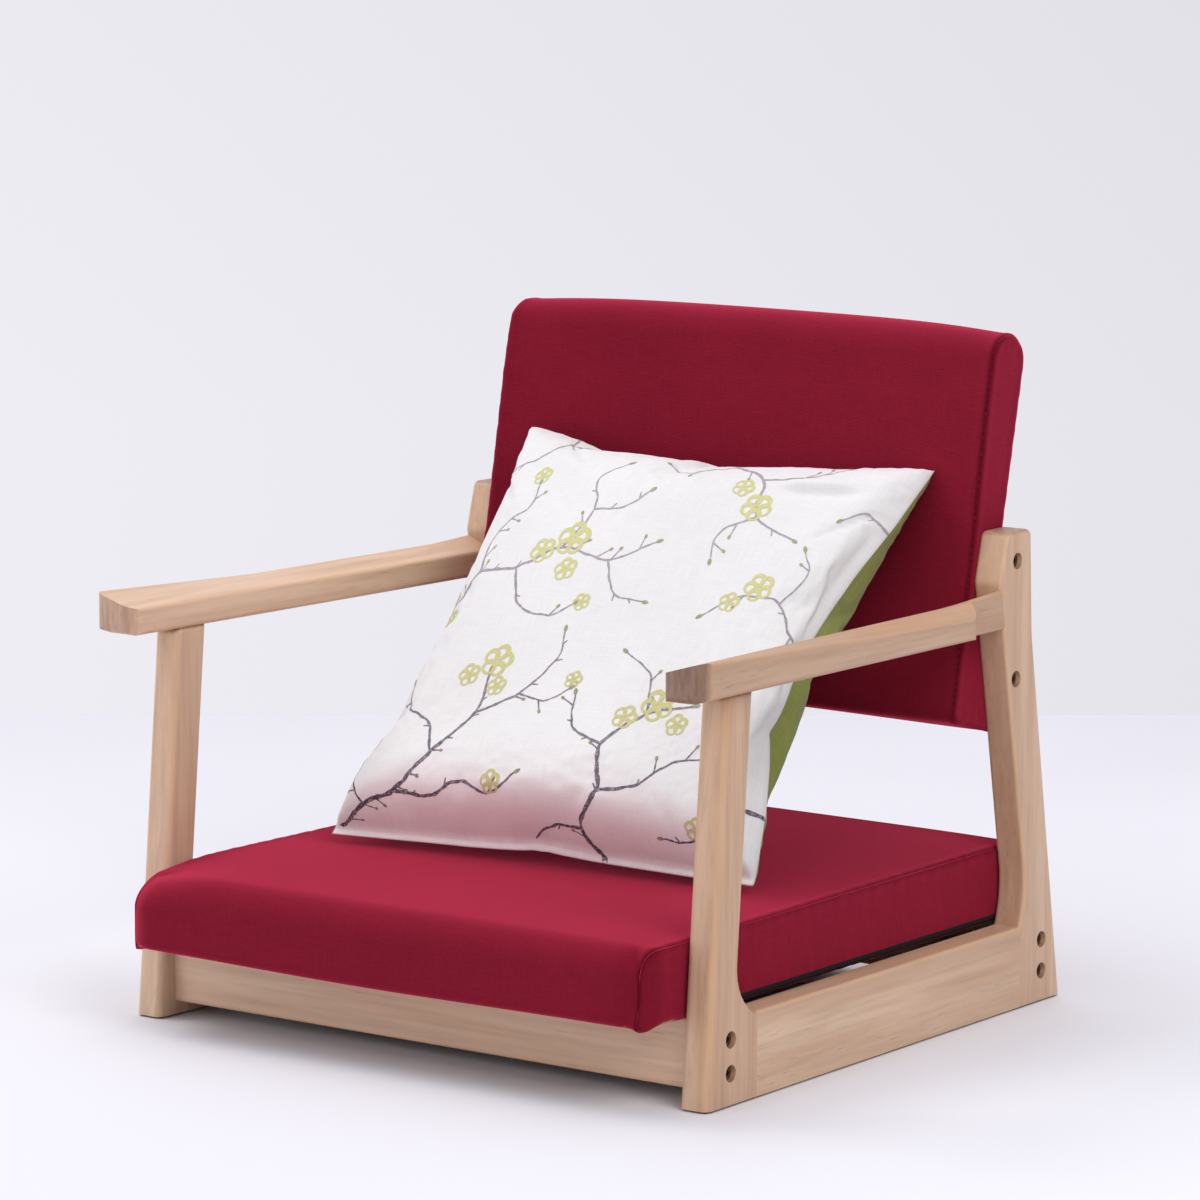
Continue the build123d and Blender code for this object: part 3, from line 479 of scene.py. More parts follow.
def boxed_pad(name, loop, spine, half_width, swell, place, materials, painted_shade_rim=None, sewn=evenly_sewn):
    """A pad whose outline in (y, z) runs from side to side, with an end panel sewn on at each end.

    half_width(y) is half its width, swell(share, loop) how far the cloth stands out of the outline,
    and place(points) moves the finished points, an array of x, y and z. Where the flags that follow
    the materials, one for each point of the outline, are true, the rim of the end panels has the second
    material, a dark rim of painted shade.
    """
    normals = loop_normals(loop)
    count = len(loop)
    painted_shade_rim = np.zeros(count, bool) if painted_shade_rim is None else painted_shade_rim
    lengths = run_lengths(loop)
    pucker = PUCKER_HEIGHT * ripple(lengths, PUCKER_PERIOD)
    widest = half_width(loop[:, 0])
    reach = widest - EDGE_STEPS[-1]
    stations = [(-widest + step, step) for step in EDGE_STEPS]
    for share in np.linspace(-1, 1, CROSS_STATIONS)[1:-1]:
        stations.append((share * reach, widest - np.abs(share * reach)))
    stations += [(widest - step, step) for step in reversed(EDGE_STEPS)]
    # seam gathers, for each point, the painted shade of the seams near it.
    points, seam = [], []
    for across, distance in stations:
        distance = np.broadcast_to(distance, count)
        depth = sewn(np.sign(across), loop)
        out = swell(across / widest, loop) * (1.0 - np.exp(-distance / CLOTH_SETTLING))
        out += sewn_height(distance, depth, pucker)
        points.append(np.column_stack([across, loop + normals * out[:, None]]))
        seam.append(depth * bell(distance, SHADE_WIDTH))
    ring = np.arange(count)
    after = np.roll(ring, -1)
    low = np.arange(len(stations) - 1)[:, None] * count
    high = low + count
    band = np.stack([low + ring, low + after, high + after, high + ring], axis=-1).reshape(-1, 4)
    across = np.array([station[0] for station in stations])
    ends = np.append(lengths[1:], lengths[-1] + np.linalg.norm(loop[0] - loop[-1]))
    corners = (lengths, across[:-1]), (ends, across[:-1]), (ends, across[1:]), (lengths, across[1:])
    band_uvs = np.stack([np.stack(np.broadcast_arrays(*corner), axis=-1) for corner in corners], axis=2)
    faces, face_slots = band.tolist(), [0] * len(band)
    inward = nearest_on_line(loop, spine) - loop
    room = np.linalg.norm(inward, axis=1)
    inward /= room[:, None]
    flat = [loop] * len(points)
    for side, previous in ((-1, ring), (1, ring + high[-1])):
        depth = sewn(side, loop)
        for step_in in CAP_STEPS:
            moved = loop + inward * np.minimum(step_in, DEEPEST_CAP_SHARE * room)[:, None]
            bulge = CAP_BULGE * (1.0 - math.exp(-step_in / CAP_SETTLING))
            stand = bulge + sewn_height(step_in, depth, pucker)
            current = ring + len(points) * count
            points.append(np.column_stack([side * (half_width(moved[:, 0]) + stand), moved]))
            seam.append(depth * bell(step_in, SHADE_WIDTH))
            flat.append(moved)
            faces += np.column_stack([previous, current, current[after], previous[after]]).tolist()
            # Faces in the rim of painted shade take the second material.
            face_slots += (painted_shade_rim & (step_in < PAINTED_SHADE_RIM_HEIGHT)).astype(int).tolist()
            previous = current
        faces.append(previous.tolist())
        face_slots.append(0)
    uvs = np.vstack([band_uvs.reshape(-1, 2), np.vstack(flat)[np.concatenate(faces[len(band):])]])
    points, seam = place(np.vstack(points)), np.concatenate(seam)
    piece = mesh_piece(name, points, faces, materials, uvs, face_slots, seam=seam)
    turn_outwards(piece)
    return piece


def finish_pad(piece, *replaced):
    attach(piece, CHAIR)
    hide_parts(*replaced)


# ---- seat pad
red = red_cloth()
SEAT_CROWN = 0.003
FRONT_Y, REAR_Y = seat_low.y, seat_high.y
SEAT_BOTTOM, SEAT_TOP = seat_low.z, seat_high.z - SEAT_CROWN
FRONT_CORNER, REAR_CORNER = 0.028, 0.008
FRONT_LEAN, FRONT_ROLL = 0.0015, 0.024
FULL_PUFF = 0.0010
FLAT_SEAM = 0.12             # how much of its depth the seam of the left front corner keeps
FLAT_FROM_FRONT = 0.030, 0.085    # how far behind the front that seam begins to show, and shows in full
PAINTED_SHADE_RIM_FROM_FRONT = 0.055      # where the dark rim of painted shade along the hem begins, behind the front


def seat_half_width(y):
    return seat_high.x - (y - FRONT_Y) * math.tan(TOE_IN)


seat_underside = (FRONT_Y, SEAT_BOTTOM, 0.006), (REAR_Y, SEAT_BOTTOM, 0.006)
seat_upper_side = (REAR_Y, SEAT_TOP, 0.010), (FRONT_Y + FRONT_LEAN, SEAT_TOP - FRONT_LEAN, FRONT_ROLL)
seat_loop = rounded_loop(seat_underside + seat_upper_side)
SPINE_INSET, SPINE_HEIGHT = 0.03, 0.098
seat_spine = np.array([(FRONT_Y + SPINE_INSET, SPINE_HEIGHT), (REAR_Y - SPINE_INSET, SPINE_HEIGHT)])


def seat_swell(share, loop):
    """The seat is crowned on top and puffed at the front, and flat underneath."""
    across = np.clip(1.0 - share**4, 0.0, 1.0)
    middle = (loop[:, 0] - FRONT_Y) / (REAR_Y - FRONT_Y)
    top = np.clip((loop[:, 1] - SEAT_BOTTOM) / (SEAT_TOP - SEAT_BOTTOM), 0.0, 1.0) ** 2
    crown = SEAT_CROWN * np.clip(1.0 - (2.0 * middle - 1.0) ** 4, 0.0, 1.0)
    return across * top * crown + FULL_PUFF * top


def seat_sewn(side, loop):
    """The seams show everywhere but round the left front corner, where they lie flat."""
    in_front = 1.0 - ramped(loop[:, 0] - FRONT_Y, *FLAT_FROM_FRONT)
    return 1.0 - (1.0 - FLAT_SEAM) * in_front * (side < 0)


def round_corners(x, y, front, rear, set_back=0.0):
    """Moves points of a square-cornered plan onto one with rounded corners, the edges' meeting at 45 degrees.

    The front edge of the plan lies set_back behind the front of the seat.
    """
    half = seat_half_width(y)
    from_side = half - np.abs(x)
    for radius, from_end, way in ((front, y - FRONT_Y - set_back, 1.0), (rear, REAR_Y - y, -1.0)):
        a, b = radius - from_side, radius - from_end
        inside = (a > 0) & (b > 0)
        scale = np.ones_like(a)
        scale[inside] = np.maximum(a, b)[inside] / np.hypot(a, b)[inside]
        x = x + np.sign(x) * np.where(inside, a * (scale - 1.0), 0.0)
        y = y - way * np.where(inside, b * (scale - 1.0), 0.0)
    return x, y


HEM_HEIGHT, HEM_DROOP, DROOP_PLACE, DROOP_WIDTH = 0.022, 0.0024, -0.02, 0.16
FLAP_DROP, FLAP_RISE, DROP_PLACE, RISE_PLACE = 0.0034, 0.0010, 0.010, 0.034    # behind the front
HEM_FLARE, CORNER_SINK, SINK_ASIDE, SINK_BEHIND = 0.0040, 0.0095, 0.045, 0.058


def seat_place(points):
    """Lets the hem hang in front and at its ends, sinks the left front corner, and rounds the corners."""
    x, y, z = points.T.copy()
    from_side = seat_half_width(y) - np.abs(x)
    from_front = y - FRONT_Y
    low = 1.0 - ramped(z, SEAT_BOTTOM, SEAT_BOTTOM + HEM_HEIGHT)
    in_front = 1.0 - ramped(from_front, 0.004, 0.030)
    z -= HEM_DROOP * low * in_front * bell(x - DROOP_PLACE, DROOP_WIDTH)
    flap = FLAP_RISE * bell(from_front - RISE_PLACE, 0.012) - FLAP_DROP * bell(from_front - DROP_PLACE, 0.009)
    z += low * bell(from_side, 0.012) * flap
    flare = HEM_FLARE * low * bell(from_side, 0.010) * bell(from_front, 0.010) * (x > 0)
    high = ramped(z, SEAT_BOTTOM + 0.015, SEAT_TOP)
    sunk = high * bell(from_side, SINK_ASIDE) * bell(from_front, SINK_BEHIND) * (x < 0)
    roll = np.clip((z - SEAT_TOP + FRONT_LEAN + FRONT_ROLL) / FRONT_ROLL, 0.0, 1.0)
    rolled_back = FRONT_ROLL * (1.0 - np.sqrt(1.0 - roll * roll)) * (x < 0)
    x, y = round_corners(x, y, FRONT_CORNER, REAR_CORNER, rolled_back)
    return np.column_stack([x, y - flare, z - CORNER_SINK * sunk])


dust_cloth_and_painted_shade = plain_cloth("dust_cloth", DUST, 500.0, 0.4)
# Painted shade: a dark rim of dust cloth along the lower edge of the side panels stands in for the deep shade
# under the seat's sides.
hem_painted_shade_rim = (seat_loop[:, 1] < SEAT_BOTTOM + 0.001) & (seat_loop[:, 0] > FRONT_Y + PAINTED_SHADE_RIM_FROM_FRONT)
seat_shape = seat_loop, seat_spine, seat_half_width, seat_swell, seat_place
seat_pad = boxed_pad("seat_pad", *seat_shape, [red, dust_cloth_and_painted_shade], hem_painted_shade_rim, seat_sewn)
finish_pad(seat_pad, "seat_cover", "seat_foam")

# ---- cloth under the seat
DUST_INSET, DUST_THICKNESS, DUST_SAG, DUST_RIPPLE = 0.009, 0.0004, 0.0022, 0.0004
DUST_CELLS = 48


def dust_sheet():
    """A thin non-woven cloth stapled under the seat. It sags a little between the rails."""
    low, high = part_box("seat_dust_cloth")
    share = np.linspace(0.0, 1.0, DUST_CELLS + 1)
    y = np.tile(low.y + (high.y - low.y) * share, (share.size, 1))
    half = seat_half_width(y) - DUST_INSET
    x = half * (2.0 * share[:, None] - 1.0)
    x, y = round_corners(x, y, FRONT_CORNER - DUST_INSET, REAR_CORNER)
    edge = np.minimum(half - np.abs(x), np.minimum(y - low.y, high.y - y))
    free = ramped(edge, 0.055, 0.14)
    z = (low.z + high.z) / 2 - free * DUST_SAG + free * DUST_RIPPLE * ripple(x + 0.3 * y, 0.09)
    grid = np.arange(x.size).reshape(x.shape)
    half_thick = DUST_THICKNESS / 2
    sides = [np.column_stack([x.ravel(), y.ravel(), z.ravel() + lift]) for lift in (half_thick, -half_thick)]
    faces = grid_faces(grid, False) + grid_faces(grid + x.size, True)
    rim = np.concatenate([grid[:-1, 0], grid[-1, :-1], grid[:0:-1, -1], grid[0, :0:-1]])
    for first, second in zip(rim.tolist(), np.roll(rim, -1).tolist()):
        faces.append((first, first + x.size, second + x.size, second))
    piece = mesh_piece("dust_cloth", np.vstack(sides), faces, [dust_cloth_and_painted_shade])
    turn_outwards(piece)
    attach(piece, CHAIR)
    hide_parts("seat_dust_cloth")


def grid_faces(index, flip):
    """The four-sided faces of a grid of points, given by their indices."""
    quads = np.stack([index[:-1, :-1], index[1:, :-1], index[1:, 1:], index[:-1, 1:]], axis=-1).reshape(-1, 4)
    return (quads[:, ::-1] if flip else quads).tolist()


dust_sheet()

# ---- back
BACK_TOP = back_high.z - 0.0035
# Its front face from the bottom up, and then its whole outline, in front of the rear feet.
BACK_FACE = ((0.126, 0.2375, 0.009), (0.100, 0.361, 0.15), (0.078, 0.485, 0.15), (0.0665, BACK_TOP, 0.0225))
BACK_REAR = ((0.058, 0.220, 0.007), (0.058, 0.340, 0.060), (0.052, 0.382, 0.080), (0.0165, BACK_TOP, 0.0225))
BACK_OUTLINE = BACK_REAR + BACK_FACE[::-1]
back_loop = rounded_loop([(rear_foot_y - ahead, z, radius) for ahead, z, radius in BACK_OUTLINE])
BACK_SPINE = ((0.090, 0.250), (0.078, 0.350), (0.062, 0.440), (0.042, 0.512))
back_spine = np.array([(rear_foot_y - ahead, z) for ahead, z in BACK_SPINE])
BACK_HOLLOW, BACK_HALF_SPAN, BACK_AHEAD = 0.014, 0.240, 0.052
BACK_PUFF, FRONT_PUFF, TOP_PUFF = 0.0012, 0.0016, 0.0036
PUFF_AHEAD, PUFF_HEIGHT, PUFF_REACH = 0.06, 0.49, 0.04    # where the front and the top begin to swell
arc_radius = (BACK_HALF_SPAN**2 + BACK_HOLLOW**2) / (2 * BACK_HOLLOW)
arc_centre_y = rear_foot_y - BACK_AHEAD + BACK_HOLLOW - arc_radius


def back_half_width(y):
    return back_high.x - (y - back_low.y) * math.tan(TOE_IN)


def back_swell(share, loop):
    """The foam stands out a little in front and at the top."""
    across = np.clip(1.0 - share**4, 0.0, 1.0)
    front = np.clip((rear_foot_y - PUFF_AHEAD - loop[:, 0]) / PUFF_REACH, 0.0, 1.0)
    top = np.clip((loop[:, 1] - PUFF_HEIGHT) / PUFF_REACH, 0.0, 1.0)
    return BACK_PUFF + across * (FRONT_PUFF * front + TOP_PUFF * top)


def back_place(points):
    """Curves the back about an upright line in front of the chair."""
    moved = points.copy()
    radius = points[:, 1] + BACK_HOLLOW - arc_centre_y
    moved[:, 1] = arc_centre_y + np.sqrt(radius**2 - points[:, 0] ** 2)
    return moved


back_pad = boxed_pad("back_pad", back_loop, back_spine, back_half_width, back_swell, back_place, [red])
finish_pad(back_pad, "back_cover", "back_foam")

# ---- loose cushion
# Its corners: the lower two lie on the seat, the upper two lean towards the back.
LOW_LEFT = np.array([-0.1884, -0.0941, 0.1345])
LOW_RIGHT = np.array([0.2032, -0.0670, 0.1345])
HIGH_RIGHT = np.array([0.1991, 0.1890, 0.4290])
HIGH_LEFT = np.array([-0.1968, 0.1760, 0.4364])
CUSHION_SIDE = 0.396
HALF_THICKNESS = 0.056
FULLNESS = 0.76              # below 1 the cloth stands up more steeply at its seams
PULL_SIDE, PULL_TOP, PULL_BOTTOM = 0.80, 0.50, 0.22    # how much of the simulated pull is kept
BELLY, BELLY_PLACE = 0.028, 0.025    # the filling that has sunk to the lower seam, and its height
FLANGE = 0.006               # the flat edge below the lower seam
FLANGE_ROWS = 5
FLANGE_HALF = 0.0010
CLOTH_CELLS = 56
FINAL_CELLS = 168
SIM_FRAMES = 24
CLOTH_SETTINGS = {
    "quality": 6, "mass": 0.25, "air_damping": 4.0,
    "use_pressure": True, "uniform_pressure_force": 4.0,
    "tension_stiffness": 30.0, "compression_stiffness": 12.0, "shear_stiffness": 8.0,
    "tension_damping": 12.0, "compression_damping": 12.0, "shear_damping": 12.0,
    "bending_stiffness": 0.6, "bending_damping": 1.5,
}


def pillow_grid(cells, size, lift):
    """Points and indices of two square panels that share their edge."""
    line = np.linspace(-size / 2, size / 2, cells + 1)
    u, v = np.meshgrid(line, line, indexing="ij")
    rise = lift * (1 - (2 * u / size) ** 2) * (1 - (2 * v / size) ** 2)
    return shared_edge(np.stack([u, v, rise], axis=-1), np.stack([u, v, -rise], axis=-1))


def shared_edge(front, back):
    """The points of two grids with a common edge, and each grid's indices into them."""
    shape = front.shape[:2]
    index_front = np.arange(shape[0] * shape[1]).reshape(shape)
    index_back = index_front.copy()
    inside = np.zeros(shape, bool)
    inside[1:-1, 1:-1] = True
    index_back[inside] = index_front.size + np.arange(inside.sum())
    return np.vstack([front.reshape(-1, 3), back[inside]]), index_front, index_back


def blown_cushion():
    """The cushion's two panels after a cloth simulation has filled them: arrays of points."""
    points, index_front, index_back = pillow_grid(CLOTH_CELLS, CUSHION_SIDE, 0.012)
    faces = grid_faces(index_front, False) + grid_faces(index_back, True)
    piece = mesh_piece("cushion_sim", points, faces, [])
    cloth = piece.modifiers.new("cloth", "CLOTH").settings
    for key, value in CLOTH_SETTINGS.items():
        setattr(cloth, key, value)
    cloth.effector_weights.gravity = 0.0
    for step in range(1, SIM_FRAMES + 1):
        scene.frame_set(step)
    filled = piece.evaluated_get(bpy.context.evaluated_depsgraph_get())
    moved = np.array([vertex.co for vertex in filled.to_mesh().vertices])
    filled.to_mesh_clear()
    scene.frame_set(1)
    bpy.data.objects.remove(piece)
    return moved[index_front], moved[index_back]


def refine(grid, cells):
    """A grid of points drawn again with more cells, along smooth curves."""

    def along_first(values):
        old = len(values) - 1
        at = np.linspace(0, old, cells + 1)
        base = np.minimum(at.astype(int), old - 1)
        part = (at - base)[:, None, None]
        padded = np.concatenate([2 * values[:1] - values[1:2], values, 2 * values[-1:] - values[-2:-1]])
        return along_curve(*(padded[base + shift] for shift in range(4)), part)

    return along_first(along_first(grid).swapaxes(0, 1)).swapaxes(0, 1)


def back_front_face(x, z):
    """y of the front face of the back at a place, without its padding."""
    ahead, heights, _ = zip(*BACK_FACE)
    return rear_foot_y - np.interp(z, heights, ahead) + BACK_HOLLOW * (1 - (x / BACK_HALF_SPAN) ** 2)


def softly_over(value):
    """The value where it is above zero, and nearly zero below, with a smooth bend between."""
    return np.where(value > 30, value, np.log1p(np.exp(np.minimum(value, 30))))


SEAT_GAP, BACK_GAP = 0.0018, 0.0038            # how far the cushion's cloth stays off the chair's
SEAT_SOFTNESS, BACK_SOFTNESS = 0.004, 0.003    # the height within which it bends to lie flat
LOWEST_BACK_TOUCH = 0.24


def rest_on(points):
    """Presses the cushion flat where it meets the seat and the back."""
    x, y, z = (points[..., axis].copy() for axis in range(3))
    floor = SEAT_TOP + SEAT_CROWN + SEAT_GAP
    z = floor + SEAT_SOFTNESS * softly_over((z - floor) / SEAT_SOFTNESS)
    wall = back_front_face(x, z) - BACK_GAP
    pressed = wall - BACK_SOFTNESS * softly_over((wall - y) / BACK_SOFTNESS)
    return np.stack([x, np.where(z > LOWEST_BACK_TOUCH, pressed, y), z], axis=-1)


across_line = np.linspace(0.0, 1.0, FINAL_CELLS + 1)
flat_s, flat_t = np.meshgrid(across_line, across_line, indexing="ij")
front_grid, back_grid = blown_cushion()
middle = front_grid.reshape(-1, 3).mean(axis=0)
sim_corners = front_grid[[0, -1, -1, 0], [0, 0, -1, -1]]
span = np.linalg.norm(sim_corners - np.roll(sim_corners, 1, axis=0), axis=1).mean()
highest = max(front_grid[..., 2].max(), -back_grid[..., 2].min())
plane_normal = unit(np.cross(HIGH_RIGHT - LOW_LEFT, HIGH_LEFT - LOW_RIGHT))


def panel_rows(grid, facing):
    """A panel as shares across and up the cushion and heights over its middle, with its lower edge added."""
    fine = refine(grid, FINAL_CELLS)
    s = flat_s + PULL_SIDE * ((fine[..., 0] - middle[0]) / span + 0.5 - flat_s)
    pull = PULL_BOTTOM + (PULL_TOP - PULL_BOTTOM) * ramped(flat_t, 0.1, 0.9)
    t = flat_t + pull * ((fine[..., 1] - middle[1]) / span + 0.5 - flat_t)
    lower_edge = FLANGE / CUSHION_SIDE
    t = lower_edge + (1.0 - lower_edge) * t
    rise = np.maximum(HALF_THICKNESS * (np.abs(fine[..., 2]) / highest) ** FULLNESS, FLANGE_HALF)
    inner = np.zeros_like(s, bool)
    inner[1:-1, :-1] = True
    rise = np.where(inner, facing * rise, 0.0)
    share = np.linspace(0.0, 1.0, FLANGE_ROWS + 1)[:-1]
    edge_s = np.repeat(s[:, :1], FLANGE_ROWS, axis=1)
    edge_t = t[:, :1] - lower_edge * (1.0 - share)
    edge_rise = np.full_like(edge_s, facing * FLANGE_HALF)
    edge_rise[:, 0] = edge_rise[0] = edge_rise[-1] = 0.0
    return [np.concatenate(pair, axis=1) for pair in ((edge_s, s), (edge_t, t), (edge_rise, rise))]


body_line = FLANGE + (CUSHION_SIDE - FLANGE) * across_line
up_line = np.concatenate([np.linspace(0.0, FLANGE, FLANGE_ROWS + 1)[:-1], body_line]) / CUSHION_SIDE
cloth_s, cloth_t = np.meshgrid(across_line, up_line, indexing="ij")
FOLD_START, FOLD_END = np.array([0.735, 0.845]), np.array([0.90, 0.875])
FOLD_RIDGE, FOLD_VALLEY = 0.0028, 0.0050
RIGHT_FORWARD, TOP_SAG = 0.016, 0.012
# Height and period of the puckers at the lower, upper, left and right seam.
PUCKERS = (0.0022, 0.029), (0.0009, 0.021), (0.0009, 0.019), (0.0009, 0.023)


def creased(t, rise, facing):
    """The pull of the filling: the right seam lies forward, the top edge sags, and the seams pucker."""
    rise = rise + RIGHT_FORWARD * bell(1.0 - cloth_s, 0.12) * np.sin(math.pi * np.clip(cloth_t, 0, 1)) ** 0.8
    if facing > 0:
        from_hem = np.maximum(cloth_t * CUSHION_SIDE - FLANGE, 0.0) / BELLY_PLACE
        ends = np.clip(4.0 * cloth_s * (1.0 - cloth_s), 0.0, 1.0) ** 0.6
        rise = rise + BELLY * from_hem * np.exp(1.0 - from_hem) * ends
    t = t - TOP_SAG * bell(cloth_s - 0.24, 0.12) * bell(1.0 - cloth_t, 0.12)
    across, up = cloth_s * CUSHION_SIDE, cloth_t * CUSHION_SIDE
    seams = (up - FLANGE, across), (CUSHION_SIDE - up, across), (across, up), (CUSHION_SIDE - across, up)
    for (gap, place), (height, period) in zip(seams, PUCKERS):
        gap = np.maximum(gap, 0.0)
        fading = np.exp(-gap / 0.024) * (1 - np.exp(-gap / 0.004))
        rise = rise + facing * height * ripple(place + 0.01 * facing, period) * fading
    if facing > 0:
        run = FOLD_END - FOLD_START
        length = np.linalg.norm(run)
        from_start = np.stack([cloth_s - FOLD_START[0], cloth_t - FOLD_START[1]], axis=-1)
        along_fold = from_start @ run / length
        beside = (from_start @ np.array([-run[1], run[0]]) / length) * CUSHION_SIDE
        held = ramped(along_fold, -0.03, 0.05) * (1 - ramped(along_fold, length - 0.05, length + 0.04))
        fold = FOLD_RIDGE * bell(beside - 0.009, 0.007) - FOLD_VALLEY * bell(beside + 0.001, 0.006)
        rise = rise + held * fold
    return t, rise


def laid(grid, facing):
    """A panel of the cushion in its place on the chair."""
    s, t, rise = panel_rows(grid, facing)
    t, rise = creased(t, rise, facing)
    s, t = s[..., None], t[..., None]
    low = (1 - s) * LOW_LEFT + s * LOW_RIGHT
    high = (1 - s) * HIGH_LEFT + s * HIGH_RIGHT
    return rest_on((1 - t) * low + t * high + rise[..., None] * plane_normal)


front_panel, back_panel = laid(front_grid, 1.0), laid(back_grid, -1.0)
pillow_points, index_front, index_back = shared_edge(front_panel, back_panel)

# How far up the cloth each row of the front panel lies, along its middle.
front_lengths = run_lengths(front_panel[FINAL_CELLS // 2])
front_faces = grid_faces(index_front, False)
back_faces = grid_faces(index_back, True)


def panel_uvs(up, flip):
    """Metres across and up the panel, for each corner of each of its faces."""
    spots = np.stack(np.meshgrid(across_line * CUSHION_SIDE, up, indexing="ij"), axis=-1)
    index = np.arange(spots[..., 0].size).reshape(spots.shape[:2])
    return spots.reshape(-1, 2)[grid_faces(index, flip)].reshape(-1, 2)


pillow = mesh_piece(
    "cushion_cover",
    pillow_points,
    front_faces + back_faces,
    cushion_cloths(),
    np.vstack([panel_uvs(front_lengths, False), panel_uvs(up_line * CUSHION_SIDE, True)]),
    [0] * len(front_faces) + [1] * len(back_faces),
)
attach(pillow, CUSHION)
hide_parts("cushion_front", "cushion_back", "cushion_zip", "cushion_filling")

# ---- print on the cushion
# Twigs: the width at each end in millimetres, and points in per cent across and up the panel.
TWIGS = [
    (4.0, 1.8, [(2, 3), (9, 10), (17, 13), (25, 20), (31, 29), (30, 38)]),
    (2.8, 1.4, [(17, 13), (26, 12), (34, 15), (41, 13), (47, 17)]),
    (2.1, 1.1, [(25, 20), (20, 27), (13, 30), (9, 36)]),
    (2.0, 1.0, [(31, 29), (39, 34), (44, 42), (43, 48)]),
    (1.6, 0.9, [(9, 10), (5, 17), (7, 23)]),
    (1.4, 0.9, [(39, 34), (46, 33), (50, 36)]),
    (4.0, 1.7, [(66, 0), (62, 8), (66, 16), (63, 25), (69, 33), (78, 36)]),
    (2.3, 1.1, [(66, 16), (74, 18), (79, 24), (86, 26)]),
    (2.0, 1.1, [(63, 25), (55, 28), (52, 35)]),
    (2.5, 1.2, [(62, 8), (54, 7), (49, 3)]),
    (1.5, 0.9, [(69, 33), (66, 41), (59, 45)]),
    (2.7, 1.2, [(0, 50), (8, 53), (14, 60), (24, 61), (33, 66), (45, 64), (54, 69)]),
    (1.9, 1.0, [(14, 60), (13, 69), (19, 75), (18, 81)]),
    (1.8, 1.0, [(33, 66), (36, 75), (33, 82), (37, 87)]),
    (1.9, 1.0, [(24, 61), (29, 53), (37, 51), (42, 54)]),
    (1.6, 0.9, [(45, 64), (50, 57), (57, 56)]),
    (1.4, 0.9, [(36, 75), (43, 76), (47, 80)]),
    (2.6, 1.3, [(58, 100), (60, 92), (69, 87), (72, 78), (82, 74)]),
    (1.8, 1.0, [(60, 92), (52, 88), (45, 90)]),
    (1.8, 1.0, [(69, 87), (78, 89), (84, 94)]),
    (1.6, 0.9, [(72, 78), (66, 73), (67, 67)]),
    (2.3, 1.1, [(100, 52), (92, 54), (86, 60), (77, 60), (71, 55)]),
    (1.8, 1.0, [(92, 54), (90, 46), (84, 42)]),
    (1.6, 0.9, [(86, 60), (89, 67), (86, 72)]),
    (2.7, 1.3, [(100, 20), (93, 17), (88, 10), (81, 9)]),
    (1.8, 1.0, [(93, 17), (90, 25), (92, 31)]),
    (2.1, 1.0, [(14, 100), (17, 94), (14, 88), (6, 85)]),
    (1.6, 0.9, [(17, 94), (25, 93), (29, 97)]),
    (2.0, 1.0, [(100, 83), (94, 84), (90, 81)]),
]
# Blossoms: place in thousandths across and up, radius in millimetres, turn in degrees.
BLOSSOMS = [
    (305, 405, 13.0, 10), (252, 372, 9.0, 40), (330, 352, 8.0, 25), (415, 150, 8.5, 25), (705, 350, 12.5, 50),
    (648, 316, 9.5, 5), (760, 318, 8.5, 30), (500, 380, 7.0, 12), (345, 680, 14.0, 20), (285, 650, 10.5, 55),
    (362, 612, 9.5, 35), (435, 545, 7.0, 50), (50, 560, 10.0, 15), (95, 505, 8.0, 60), (710, 800, 12.0, 60),
    (660, 842, 8.5, 0), (800, 625, 11.5, 45), (752, 585, 8.0, 15), (885, 125, 9.0, 20), (175, 830, 8.0, 30),
]
TWIG_SPREAD = 0.00115         # metres of ink for a millimetre of width
INK_LIFT, BLOSSOM_LIFT, INK_DEPTH = 0.00020, 0.00030, 0.0004
STROKE_STEP = 0.0016
TWIG_INK, BLOSSOM_INK, BUD_INK = range(3)

panel_normals = unit(np.cross(np.gradient(front_panel, axis=0), np.gradient(front_panel, axis=1)))


def on_cloth(spots, lift):
    """Points over the front panel, at spots given as shares across and up it."""
    across, up = np.clip(spots, 0.0, 1.0).T
    at_s = across * FINAL_CELLS
    at_t = np.interp(up, front_lengths / front_lengths[-1], np.arange(len(up_line)))
    i = np.minimum(at_s.astype(int), FINAL_CELLS - 1)
    j = np.minimum(at_t.astype(int), len(up_line) - 2)
    a, b = (at_s - i)[:, None], (at_t - j)[:, None]

    def between(grid):
        low = (1 - a) * grid[i, j] + a * grid[i + 1, j]
        high = (1 - a) * grid[i, j + 1] + a * grid[i + 1, j + 1]
        return (1 - b) * low + b * high

    return between(front_panel) + lift * unit(between(panel_normals))


def smooth_path(controls):
    """Evenly spaced points on a smooth curve through control points, in metres on the cloth."""
    controls = np.array(controls) / 100 * CUSHION_SIDE
    padded = np.vstack([2 * controls[0] - controls[1], controls, 2 * controls[-1] - controls[-2]])
    points = []
    for four in zip(padded, padded[1:], padded[2:], padded[3:]):
        points += [along_curve(*four, part) for part in np.linspace(0.0, 1.0, 12, endpoint=False)]
    points = np.array(points + [controls[-1]])
    lengths = run_lengths(points)
    wanted = np.linspace(0.0, lengths[-1], max(4, int(lengths[-1] / STROKE_STEP)))
    return np.stack([np.interp(wanted, lengths, points[:, axis]) for axis in (0, 1)], axis=1), wanted


ink_points, ink_faces, ink_slots = [], [], []


